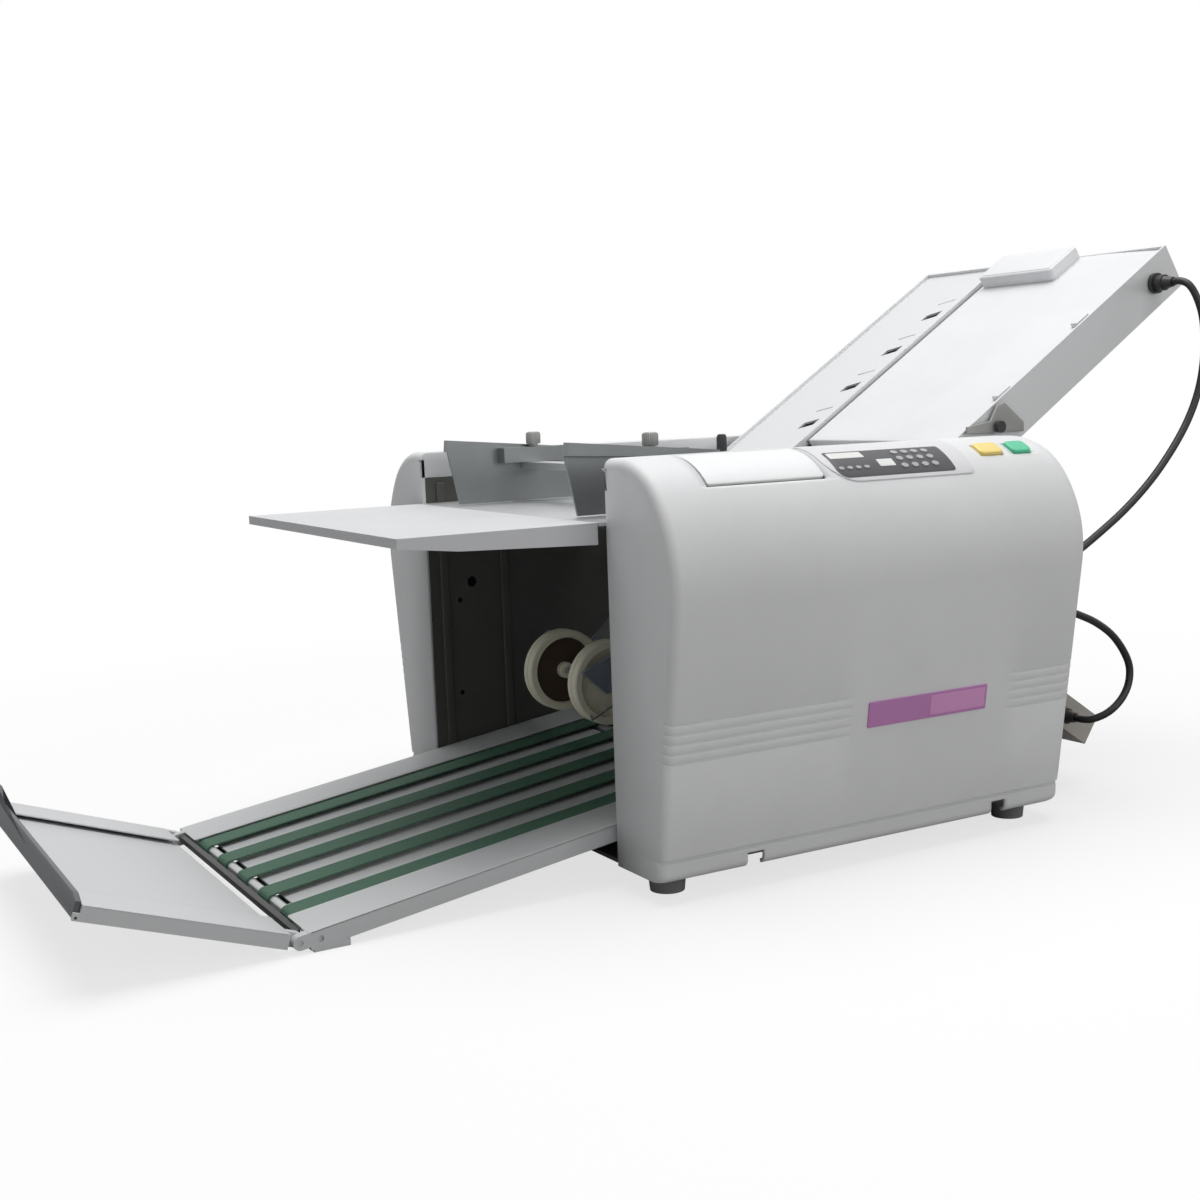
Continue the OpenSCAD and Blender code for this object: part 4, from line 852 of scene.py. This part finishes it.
@dataclass
class Covers:
    """The two moulded covers as skins with their openings, given a wall."""

    profile: Profile
    wall: float = 2.8
    left_r: float = 7.0
    right_r: float = 25.0
    lid: tuple[float, float] = (-155.3, -49.7)
    lid_u: float = 11.6
    lid_angle: float = 41.6
    buttons: tuple[tuple[float, float], ...] = ((108.7, 133.3), (142.7, 163.3))
    button_angles: tuple[float, float] = (52.5, 67.6)
    notches: tuple[tuple[float, float], ...] = ((-125.0, -110.0), (114.0, 129.0))
    field_x: tuple[float, float] = (-38.0, 118.0)
    lip_points: int = 6
    notch_top: float = 29.0

    def stations(self, marks: Sequence[float]) -> tuple[Array, Array]:
        """Places along x and how far the section is drawn in there.

        Near an end, x = end + r (1 - cos a) and the draw is r (1 - sin a).

        Args:
            marks: places that get a station of their own.

        Returns:
            Places and draws.
        """
        a = np.linspace(0, math.pi / 2, 9)
        b = np.linspace(0, math.pi / 2, 15)
        left = np.stack([X_LEFT + self.left_r * (1 - np.cos(a)), self.left_r * (1 - np.sin(a))], 1)
        right = np.stack([X_RIGHT - self.right_r * (1 - np.cos(b)),
                          self.right_r * (1 - np.sin(b))], 1)[::-1]
        even = np.linspace(left[-1, 0] + 12, right[0, 0] - 12, 20)
        plain = np.unique(np.concatenate([even, np.array(marks, float)]))
        middle = np.stack([plain, np.zeros(len(plain))], 1)
        rows = np.concatenate([left, middle, right])
        return rows[:, 0], rows[:, 1]

    def skin(self, machine: Machine, name: str, side: int, controls: bool) -> None:
        """Makes one cover.

        The grid runs along x over stations and along the section over its outline. A point is
        outline + draw * inward direction, and the first and last rows lie on the inner face.

        Args:
            machine: the frame.
            name: name of the CAD node that it replaces.
            side: -1 for the control side, 1 for the far side.
            controls: whether it has the openings of the control side.
        """
        p = self.profile
        outline, inward, label = p.outline((self.lid_angle, *self.button_angles))
        marks = [v for pair in self.notches for v in pair]
        if controls:
            marks += [*self.lid, *[v for pair in self.buttons for v in pair], *self.field_x]
        xs, draws = self.stations(marks)
        u = outline[None, :, 0] + draws[:, None] * inward[None, :, 0]
        z = outline[None, :, 1] + draws[:, None] * inward[None, :, 1]
        z = np.minimum(z, p.top - draws[:, None])
        z = np.maximum(z, p.feet_h)
        order = np.arange(len(outline))
        lip = order < self.lip_points
        u = np.where(lip[None, :], outline[None, :, 0], np.maximum(u, p.top_r))
        below = p.top - draws[:, None] - 0.05 * (self.lip_points - 1 - order)[None, :] * lip
        z = np.where(lip[None, :], np.minimum(outline[None, :, 1], below), z)
        x = np.repeat(xs[:, None], len(outline), 1)
        if controls:
            flat = (xs[:, None] > self.field_x[0] - 0.1) & (xs[:, None] < self.field_x[1] + 0.1)
            last = p.groove_z + (p.grooves - 1) * p.pitch
            band = (outline[None, :, 1] > p.groove_z - 2) & (outline[None, :, 1] < last + 2)
            u = np.where(flat & band, p.face_u(z), u)
        u = np.concatenate([np.zeros((1, u.shape[1])), u, np.zeros((1, u.shape[1]))])
        z = np.concatenate([z[:1], z, z[-1:]])
        x = np.concatenate([x[:1], x, x[-1:]])
        points = np.stack([x, side * (HALF_IN + u), z], -1).reshape(-1, 3)
        faces = grid(*u.shape)
        keep = self.kept(xs, label, outline, controls)
        faces = faces[keep.ravel()]
        machine.piece(name + "_shell", points, faces, COVER, "chassis", "light_plastic", [name],
                      angle=28, wall=self.wall)

    def kept(self, xs: Array, label: Array, outline: Array, controls: bool) -> Array:
        """Cells of the grid that stay: all but those of the openings.

        Args:
            xs: stations along x.
            label: labels of the outline's points.
            outline: the outline.
            controls: whether the cover has the openings of the control side.

        Returns:
            Array of cells, True where the skin stays.
        """
        mid_x = np.concatenate([[X_LEFT - 1], (xs[:-1] + xs[1:]) / 2, [X_RIGHT + 1]])[:, None]
        mid_a = ((label[:-1] + label[1:]) / 2)[None, :]
        mid_u = ((outline[:-1, 0] + outline[1:, 0]) / 2)[None, :]
        mid_z = ((outline[:-1, 1] + outline[1:, 1]) / 2)[None, :]
        keep = np.ones((mid_x.shape[0], mid_a.shape[1]), bool)
        for x0, x1 in self.notches:
            keep &= ~((mid_x > x0) & (mid_x < x1) & (mid_z < self.notch_top))
        if not controls:
            return keep
        on_crown = (mid_a <= 90.0) & (mid_a > self.lid_angle)
        keep &= ~((mid_x > self.lid[0]) & (mid_x < self.lid[1]) & on_crown & (mid_u > self.lid_u))
        a0, a1 = self.button_angles
        for x0, x1 in self.buttons:
            keep &= ~((mid_x > x0) & (mid_x < x1) & (mid_a > a0) & (mid_a < a1))
        return keep

    def build(self, machine: Machine) -> None:
        """Makes both covers.

        Args:
            machine: the frame.
        """
        self.skin(machine, "front_cover", -1, True)
        self.skin(machine, "rear_cover", 1, False)


# ------------------------------------------------------------------ controls
@dataclass
class Controls:
    """Lid, bezel, keypad, buttons and the bare badge plate."""

    profile: Profile
    lid_x: tuple[float, float] = (-153.2, -50.4)
    lid_foot: float = 42.0
    bezel_x: tuple[float, float] = (-46.0, 92.0)
    bezel_foot: float = 37.0
    film_x: tuple[float, float] = (-38.0, 74.0)
    film_angles: tuple[float, float] = (67.7, 40.3)
    key_top: float = 67.0
    small_keys: tuple[float, ...] = (-33.0, -25.0, -17.0, -9.0)
    small_key_row: float = 20.5
    keys: tuple[float, ...] = (27.0, 37.0, 47.0, 57.0)
    key_rows: tuple[float, ...] = (5.5, 13.5, 21.5)
    stop_x: tuple[float, float] = (109.0, 133.0)
    start_x: tuple[float, float] = (143.0, 163.0)
    button_angle: float = 60.0
    button_half: float = 7.5

    def on_crown(self, x: Array, t: Array, n: Array) -> Array:
        """Point on the control side's upper curve: x along, t millimetres down from its top, n out."""
        angle = 90.0 - np.degrees(t / self.profile.crown_r)
        u, z = self.profile.crown(angle, n)
        flat = t < 0
        u = np.where(flat, self.profile.crown_u + t, u)
        z = np.where(flat, self.profile.top + n, z)
        return np.stack([x, -(HALF_IN + u), z], -1)

    def on_face(self, x: Array, t: Array, n: Array) -> Array:
        """Point on the leaning face: x along, t the height, n out."""
        return np.stack([x, -(HALF_IN + self.profile.face_u(t) + n), t], -1)

    def seat(self, x: float, t: float) -> Place:
        """Place on the upper curve, measured from the point x along it and t down it."""
        return lambda s, v, n: self.on_crown(s + x, v + t, n)

    def slab(self, x: tuple[float, float], t: tuple[float, float], low: float, high: float,
             radii: Sequence[float], edge: float = 0.5, rings: int = 10) -> tuple[Array, Array]:
        """Slab on the upper curve between two places along x and two down the curve.

        Args:
            x: its ends along the machine.
            t: its ends down the curve.
            low: its underside over the curve.
            high: its top over the curve.
            radii: corner radii, from the right lower one on as seen from outside.
            edge: rounding of its edge.
            rings: rings toward its middle.

        Returns:
            Points and faces.
        """
        outline = rounded_outline(x[1] - x[0], t[1] - t[0], radii, 8)
        outline = densify(outline, 6.0)
        cx, cy = (x[0] + x[1]) / 2, (t[0] + t[1]) / 2
        return pad(outline, low, high, self.seat(cx, cy), edge, rings)

    def build(self, machine: Machine) -> None:
        """Makes the lid, bezel, keypad, keys, buttons and badge.

        Args:
            machine: the frame.
        """
        arc = self.profile.crown_r * math.pi / 180.0
        foot = (90 - self.lid_foot) * arc
        lid = self.slab(self.lid_x, (-4.0, foot - 1.9), -2.2, 0.0, (3, 1.5, 1.5, 3), 0.7, 12)
        machine.piece("control_lid", *lid, LID, "panel_lid", "white_plastic", ["panel_lid"])
        seal = [self.slab((-155.2, -151.0), (0.0, foot), -2.9, -2.3, (1, 1, 1, 1), 0.2, 4),
                self.slab((-155.2, -49.8), (foot - 3.6, foot + 0.2), -2.9, -2.3, (1, 1, 1, 1), 0.2, 4)]
        machine.piece("lid_seal", *joined(seal), BLACK, "chassis", "black_rubber")
        bezel = self.slab(self.bezel_x, (0.0, (90 - self.bezel_foot) * arc), -1.2, 0.9, (6, 26, 1, 1),
                          0.6, 14)
        machine.piece("control_frame", *bezel, BEZEL, "chassis", "grey_plastic", ["control_bezel"])
        span = tuple((90 - a) * arc for a in self.film_angles)
        film = self.slab(self.film_x, span, 0.0, 1.25, (3, 9, 2, 2), 0.2, 10)
        machine.piece("keypad_film", *film, KEYPAD, "chassis", "dark_plastic", ["keypad"])
        t0 = (90 - self.key_top) * arc
        parts = [self.slab((-36, -4), (t0 + 1.5, t0 + 9.5), 0.9, 1.7, (1, 1, 1, 1), 0.3, 4),
                 self.slab((4, 19), (t0 + 13, t0 + 21), 0.9, 1.7, (1, 1, 1, 1), 0.3, 4)]
        machine.piece("display_windows", *joined(parts), WINDOW, "chassis", "key_plastic")
        keys = [(x, t0 + self.small_key_row, 2.6, 1.7) for x in self.small_keys]
        keys += [(x, t0 + t, 3.2, 2.4) for x in self.keys for t in self.key_rows]
        parts = []
        a = np.linspace(0, 2 * math.pi, 20, endpoint=False)
        for x, t, rx, rt in keys:
            ring = np.stack([rx * np.cos(a), rt * np.sin(a)], 1)
            parts.append(pad(ring, 0.9, 2.1, self.seat(x, t), 0.5, 2, hollow=0.15))
        machine.piece("keypad_buttons", *joined(parts), KEY, "chassis", "key_plastic", ["keypad_keys"])
        mid = (90 - self.button_angle) * arc
        press = (mid - self.button_half, mid + self.button_half)
        for name, x, finish, slot in (("stop_button", self.stop_x, STOP, "yellow_plastic"),
                                      ("start_button", self.start_x, START, "green_plastic")):
            cap = self.slab(x, press, -6.0, 2.6, (4, 4, 4, 4), 1.4, 5)
            machine.piece(name + "_cap", *cap, finish, name, slot, [name])
        self.badge(machine)

    def badge(self, machine: Machine) -> None:
        """Bare two-tone plate on the flat field of the front cover.

        Args:
            machine: the frame.
        """
        for name, x, z, low, high, finish in (
                ("badge_plate", (-23.0, 94.5), (110.5, 130.3), 0.0, 1.2, BADGE),
                ("badge_panel", (37.0, 92.3), (112.7, 128.1), 1.0, 1.5, BADGE_PALE)):
            outline = densify(rounded_outline(x[1] - x[0], z[1] - z[0], [1.0] * 4, 3), 8.0)
            cx, cz = (x[0] + x[1]) / 2, (z[0] + z[1]) / 2
            plate = pad(outline, low, high, lambda s, v, n: self.on_face(s + cx, v + cz, n), 0.3, 3)
            machine.piece(name, *plate, finish, "chassis", "dark_plastic")


def densify(outline: Array, step: float) -> Array:
    """Closed outline with points added on its long edges, no two further apart than step.

    Args:
        outline: closed outline.
        step: longest edge wanted.

    Returns:
        The denser outline.
    """
    after = np.roll(outline, -1, 0)
    count = np.maximum(1, np.ceil(np.linalg.norm(after - outline, axis=1) / step)).astype(int)
    parts = [a + (b - a) * (np.arange(n) / n)[:, None] for a, b, n in zip(outline, after, count)]
    return np.concatenate(parts)


# ------------------------------------------------------------------ feed side
@dataclass
class FeedSide:
    """Screws of the paper guides, the separator knob and the ribs of the far inner wall."""

    screw_x: float = -120.0
    screw_y: float = 99.0
    seat_z: float = 309.3
    knob_x: float = 14.0
    rib_x: tuple[float, ...] = (-183.0, -122.0)
    rib_z: tuple[float, float] = (24.0, 292.0)

    def clamp_screws(self, machine: Machine) -> None:
        """Knurled screws on the clamp bar, one for each guide.

        Args:
            machine: the frame.
        """
        shape = [(0, 0), (2.5, 0), (2.5, 13.3), (4.0, 13.3), (4.0, 15.4), (5.8, 15.4), (6.5, 16.2),
                 (6.5, 24.2), (5.7, 25.4), (4.2, 26.0), (3.8, 25.6), (0, 25.6)]
        for name, side in (("front_clamp_screw", -1), ("rear_clamp_screw", 1)):
            points = spin(shape, lambda a, b, h, y=side * self.screw_y: upright(
                a + self.screw_x, b + y, h + self.seat_z), 96, 24, 0.5)
            machine.piece(name + "_knurled", *points, KNOB, name, "grey_plastic", [name])

    def separator_knob(self, machine: Machine) -> None:
        """Knurled black knob that sets the separator.

        Args:
            machine: the frame.
        """
        shape = [(0, 300.2), (3, 300.2), (3, 310.6), (3.8, 310.6), (4.5, 311.6), (4.5, 325.0),
                 (3.6, 327.2), (2.4, 327.7), (0, 327.7)]
        points = spin(shape, lambda a, b, h: upright(a + self.knob_x, b, h), 72, 18, 0.4)
        machine.piece("separator_knob_knurled", *points, BLACK, "separator_knob", "black_plastic",
                      ["separator_knob"])

    def wall_ribs(self, machine: Machine) -> None:
        """Folded ribs down the far inner wall.

        Args:
            machine: the frame.
        """
        parts = [block((x - 4, x + 4), (HALF_IN - 2.2, HALF_IN), self.rib_z, upright, 0.8, 0.9)
                 for x in self.rib_x]
        machine.piece("wall_ribs", *joined(parts), FRAME_PAINT, "chassis", "grey_paint")

    def build(self, machine: Machine) -> None:
        """Makes the screws, the knob and the ribs.

        Args:
            machine: the frame.
        """
        self.clamp_screws(machine)
        self.separator_knob(machine)
        self.wall_ribs(machine)


# ------------------------------------------------------------------ upper fold plate
@dataclass
class UpperPlate:
    """Cover of the upper fold plate with its crease, its end housing, tabs and bracket."""

    origin: tuple[float, float] = (197.0, 354.5)
    slope: float = 33.0
    low: float = -70.0
    tip: float = 228.0
    near: float = -155.0
    ridge: float = 40.0
    crease: float = -92.0
    fall: float = 2.4
    edge: float = 1.6
    foot_n: float = -10.0
    tabs: tuple[float, ...] = (2.0, 112.0)
    housing_d: tuple[float, float] = (186.0, 228.0)
    housing_y: tuple[float, float] = (-60.0, 36.0)
    lip_in: float = 2.5
    windows: int = 8
    window_d: float = -48.0
    window_pitch: float = 31.0

    def place(self) -> Place:
        """Place on the plate's face: d up the slope, y across and n out of the face."""
        return tilted(*self.origin, self.slope)

    def section(self, draw: float) -> Array:
        """Outline of the cover across the plate, drawn in by some millimetres.

        From the near foot up, round the near edge, up the slight fall to the crease, level to the
        ridge, and down again. The draw moves each point towards the middle.

        Args:
            draw: distance that the outline is drawn in.

        Returns:
            Points (y, n).
        """
        t = np.linspace(math.pi, math.pi / 2, 6)
        e = self.edge
        near = np.stack([self.near + e + e * np.cos(t), -self.fall - e + e * np.sin(t)], 1)
        t = np.linspace(math.pi / 2, 0, 6)
        far = np.stack([self.ridge - e + e * np.cos(t), -e + e * np.sin(t)], 1)
        slope = np.stack([np.linspace(self.near + 8, self.crease, 8)[:-1],
                          np.linspace(-self.fall + 0.25, -0.0, 8)[:-1]], 1)
        flat = np.stack([np.linspace(self.crease + 1.5, self.ridge - 6, 10), np.zeros(10)], 1)
        feet = [[self.near, self.foot_n]], [[self.ridge, self.foot_n]]
        points = np.concatenate([feet[0], near, slope, flat, far, feet[1]])
        middle = np.array([(self.near + self.ridge) / 2, self.foot_n])
        shrink = np.array([1 - 2 * draw / (self.ridge - self.near), 1 + draw / self.foot_n])
        return middle + (points - middle) * shrink

    def cover(self, machine: Machine) -> None:
        """Moulded cover over the near half, closed at both ends.

        The section is carried along d. Near each end it is drawn in by e (1 - sin a) at
        d = end + e (1 - cos a), and the ends close on a point in the middle of the section.

        Args:
            machine: the frame.
        """
        a = np.linspace(0, math.pi / 2, 5)
        e = self.edge
        start = np.stack([self.low + e * (1 - np.cos(a)), e * (1 - np.sin(a))], 1)
        stop = np.stack([self.tip - e * (1 - np.cos(a)), e * (1 - np.sin(a))], 1)[::-1]
        middle = np.stack([np.linspace(self.low + 8, self.tip - 8, 12), np.zeros(12)], 1)
        rows = np.concatenate([start, middle, stop])
        rings = np.stack([self.section(draw) for _, draw in rows])
        centres = np.broadcast_to(rings.mean(1, keepdims=True), rings.shape)
        rings = np.concatenate([centres[:1], rings, centres[-1:]])
        d = np.concatenate([rows[:1, 0], rows[:, 0], rows[-1:, 0]])
        d = np.repeat(d[:, None], rings.shape[1], 1)
        place = self.place()
        points = place(d, rings[..., 0], rings[..., 1]).reshape(-1, 3)
        shell = (points, grid(*d.shape, wrap_cols=True))
        housing = block(self.housing_d, self.housing_y, (-1.0, 12.0), place, 2.0, 4.0)
        lip_d = (self.housing_d[0] + self.lip_in, self.housing_d[1] - self.lip_in)
        lip_y = (self.housing_y[0] + self.lip_in, self.housing_y[1] - self.lip_in)
        lip = block(lip_d, lip_y, (11.0, 12.6), place, 0.6, 3.0)
        tabs = [block((d0 - 9, d0 + 9), (self.near + 1, self.near + 9), (-3.0, 1.6), place, 1.0, 2.0)
                for d0 in self.tabs]
        machine.piece("plate_1_cover_moulding", *joined([shell, housing, lip, *tabs]), PLATE_COVER,
                      "chassis", "white_plastic", ["plate_1_cover"], angle=26)

    def trims(self, machine: Machine) -> None:
        """Hook bracket beside the cover, a dark strip of painted shadow just beyond the ridge and a lid in
        every other window.

        Args:
            machine: the frame.
        """
        place = self.place()
        hook = np.array([(150.0, 322.0), (214.0, 322.0), (214.0, 330.0), (192.0, 347.0), (184.0, 345.0),
                         (176.0, 332.0), (150.0, 328.0)])
        bracket = pad(densify(hook, 4.0), 159.4, 161.2, lambda s, v, n: upright(s, -n, v), 0.5, 3)
        machine.piece("plate_hook", *bracket, KNOB, "chassis", "grey_paint")
        # Painted shadow: a dark strip just past the ridge and below the cover's top stands in for the
        # shade in the gap there.
        ridge_shadow = block((self.low, self.tip - 1), (self.ridge + 0.2, self.ridge + 2.8), (-4.0, -0.8), place,
                     0.3, 0.4)
        machine.piece("ridge_gap_shadow", *ridge_shadow, DARK_STEEL, "chassis", "dark_steel")
        rims = []
        for k in range(1, self.windows, 2):
            d0 = self.window_d + self.window_pitch * k
            rim = np.array([(d0 - 2.0, 84.5), (d0 + 12.0, 84.5), (d0 + 22.0, 59.5), (d0 + 8.0, 59.5)])
            rims.append(pad(densify(rim[::-1], 4.0), -3.2, -2.3, place, 0.4, 2))
        machine.piece("window_lids", *joined(rims), PLATE, "chassis", "plate_paint")

    def build(self, machine: Machine) -> None:
        """Makes the cover and its trims.

        Args:
            machine: the frame.
        """
        self.cover(machine)
        self.trims(machine)


# ------------------------------------------------------------------ conveyor
@dataclass
class Conveyor:
    """Side strips and fold line of the conveyor, and the shaped end stop."""

    hinge: tuple[float, float] = (-446.0, 13.07)
    slope: float = 8.2
    pin_n: float = -5.0
    outer_slope: float = 19.3
    outer_len: float = 148.0
    half_w: float = 161.5
    strip_in: float = 117.0
    length: float = 391.0
    fold_half: float = 145.5
    stop_half: float = 158.5
    stop_at: float = -150.3
    stop_n: float = -3.5

    def inner(self) -> Place:
        """Place on the inner section: d up the slope from the fold."""
        return tilted(*self.hinge, self.slope)

    def outer(self) -> Place:
        """Place on the outer section: d away from the pin, so negative towards the end stop."""
        a = math.radians(self.slope)
        x = self.hinge[0] - self.pin_n * math.sin(a)
        z = self.hinge[1] + self.pin_n * math.cos(a)
        return tilted(x, z, -self.outer_slope)

    def axle(self) -> Place:
        """Place round the end stop's hinge, with its third direction across the machine."""
        outer = self.outer()
        return lambda a, b, h: outer(a + self.stop_at, h, b + self.stop_n)

    def strips(self, machine: Machine) -> None:
        """Wide side strips on both sections and the dark strip at the fold.

        Args:
            machine: the frame.
        """
        inner, outer = self.inner(), self.outer()
        sides = ((-self.half_w, -self.strip_in), (self.strip_in, self.half_w))
        parts = [block((6.6, self.length), y, (-0.9, 0.25), inner, 0.3, 2.0) for y in sides]
        machine.piece("side_strips", *joined(parts), CONVEYOR, "conveyor_section", "conveyor_plastic")
        parts = [block((-self.outer_len, -8.2), y, (4.0, 5.3), outer, 0.4, 2.0) for y in sides]
        machine.piece("outer_strips", *joined(parts), CONVEYOR, "outer_section", "conveyor_plastic")
        line = block((1.2, 6.2), (-self.fold_half, self.fold_half), (-7.0, -1.2), inner, 0.8, 1.0)
        machine.piece("fold_strip", *line, BLACK, "conveyor_section", "black_rubber")

    def end_stop(self, machine: Machine) -> None:
        """End stop: low plate that rises to a peak at its far corner, with its hinge barrel.

        Args:
            machine: the frame.
        """
        outer, w = self.outer(), self.stop_half
        edge = np.array([(-w, 0.0), (w, 0.0), (w, 22.0), (150.0, 22.0), (128.0, 14.0),
                         (-146.0, 13.0), (-w, 10.0)])
        plate = pad(densify(edge, 6.0), -2.0, 2.0, lambda s, v, n: outer(
            self.stop_at + n, s, self.stop_n + v), 0.8, 2, 0.8)
        barrel = spin([(0, -w), (2, -w), (2, w), (0, w)], self.axle(), 24)
        pins = spin([(0, -w - 2.5), (1, -w - 2.5), (1, w + 2.5), (0, w + 2.5)], self.axle(), 16)
        machine.piece("end_stop_plate", *joined([plate, barrel, pins]), SLATE, "end_stop", "slate_plastic",
                      ["end_stop"])

    def build(self, machine: Machine) -> None:
        """Makes the strips and the stop.

        Args:
            machine: the frame.
        """
        self.strips(machine)
        self.end_stop(machine)


# ------------------------------------------------------------------ stacker
@dataclass
class Stacker:
    """Stacker wheels with rims, webs and hubs, and the bright wire of the near arm."""

    shaft: tuple[float, float] = (-131.0, 131.0)
    radius: float = 35.0
    half_w: float = 7.0
    gauge: float = 78.0
    shaft_half: float = 52.0
    wire_route: tuple[tuple[float, float], ...] = (
        (-155.0, 108.0), (-154.0, 104.0), (-149.0, 106.0), (-135.0, 113.0), (-126.0, 121.0))
    wire_r: float = 1.1
    wire_y: float = -51.0

    def along(self, y: float) -> Place:
        """Place with its third direction across the machine at y, round the wheel shaft."""
        return lambda a, b, h: upright(a + self.shaft[0], h + y, b + self.shaft[1])

    def wheels(self, machine: Machine) -> None:
        """Both wheels: rim and hub by one profile, web by another.

        Args:
            machine: the frame.
        """
        r, w = self.radius, self.half_w
        tread = [(r - 6, -w), (r - 1.2, -w), (r, -w + 1.2), (r, -1.2), (r - 1, -0.6), (r - 1, 0.6),
                 (r, 1.2), (r, w - 1.2), (r - 1.2, w), (r - 6, w), (r - 6.8, w - 1.5), (r - 7, 0),
                 (r - 6.8, -w + 1.5)]
        hub = [(0, -w), (6.2, -w), (7, -w + 0.8), (7, w - 0.8), (6.2, w), (0, w)]
        web = [(0, -1.6), (r - 6.8, -1.6), (r - 6.8, 1.6), (0, 1.6)]
        for name, side, finish in (("near", -1, CREAM), ("far", 1, WEB)):
            place = self.along(side * self.gauge / 2)
            points, _ = spin(tread, place, 72)
            rim = (points, grid(len(tread), 72, True, True))
            machine.piece(name + "_wheel_rim", *joined([rim, spin(hub, place, 40)]), CREAM,
                          "stacker_wheels", "cream_plastic", ["stacker_wheels"])
            machine.piece(name + "_wheel_web", *spin(web, place, 60), finish, "stacker_wheels",
                          "cream_plastic")
        end = self.shaft_half
        shaft = spin([(0, -end), (2.6, -end), (3, -end + 0.6), (3, end - 0.6), (2.6, end), (0, end)],
                     self.along(0.0), 32)
        machine.piece("wheel_shaft", *shaft, STEEL, "stacker_wheels", "bright_steel")

    def wire(self, machine: Machine) -> None:
        """Bright wire finger below the near arm: a small tube along a bent route.

        A ring is route + r cos a * square + r sin a * y, and both ends close on a point.

        Args:
            machine: the frame.
        """
        route = np.array(self.wire_route)
        step = np.gradient(route, axis=0)
        step /= np.linalg.norm(step, axis=1, keepdims=True)
        a = np.linspace(0, 2 * math.pi, 10, endpoint=False)
        square = np.stack([-step[:, 1], step[:, 0]], 1)
        x = route[:, :1] + self.wire_r * np.cos(a) * square[:, :1]
        z = route[:, 1:] + self.wire_r * np.cos(a) * square[:, 1:]
        y = self.wire_y + self.wire_r * np.repeat(np.sin(a)[None, :], len(route), 0)
        tube = np.stack([x, y, z], -1)
        ends = [tube[[k]].mean(1, keepdims=True).repeat(len(a), 1) for k in (0, -1)]
        points = np.concatenate([ends[0], tube, ends[1]])
        faces = grid(len(route) + 2, len(a), wrap_cols=True)
        machine.piece("stacker_wire", points.reshape(-1, 3), faces, WIRE, "stacker_arms", "bright_steel",
                      angle=60)

    def build(self, machine: Machine) -> None:
        """Makes the wheels and the wire.

        Args:
            machine: the frame.
        """
        self.wheels(machine)
        self.wire(machine)


# ------------------------------------------------------------------ carried-over nodes
def dress_nodes(machine: Machine) -> None:
    """Gives every CAD node its finish.

    Args:
        machine: the frame.
    """
    for name, obj in machine.frame["nodes"].items():
        mat = CAD_FINISHES[name].make()
        if obj.material_slots:
            for slot in obj.material_slots:
                slot.material = mat
        else:
            obj.data.materials.append(mat)


def main() -> None:
    """Builds the studio, then each sub-assembly."""
    logging.basicConfig(level=logging.INFO, format="%(message)s")
    machine = Machine()
    machine.load()
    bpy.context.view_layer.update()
    Studio().build(machine)
    Cables().build(machine)
    dress_nodes(machine)
    profile = Profile()
    Covers(profile).build(machine)
    Controls(profile).build(machine)
    for part in (FeedSide(), UpperPlate(), Conveyor(), Stacker()):
        part.build(machine)
    LOG.info("%d pieces made", machine.made)


if __name__ == "__main__":
    main()
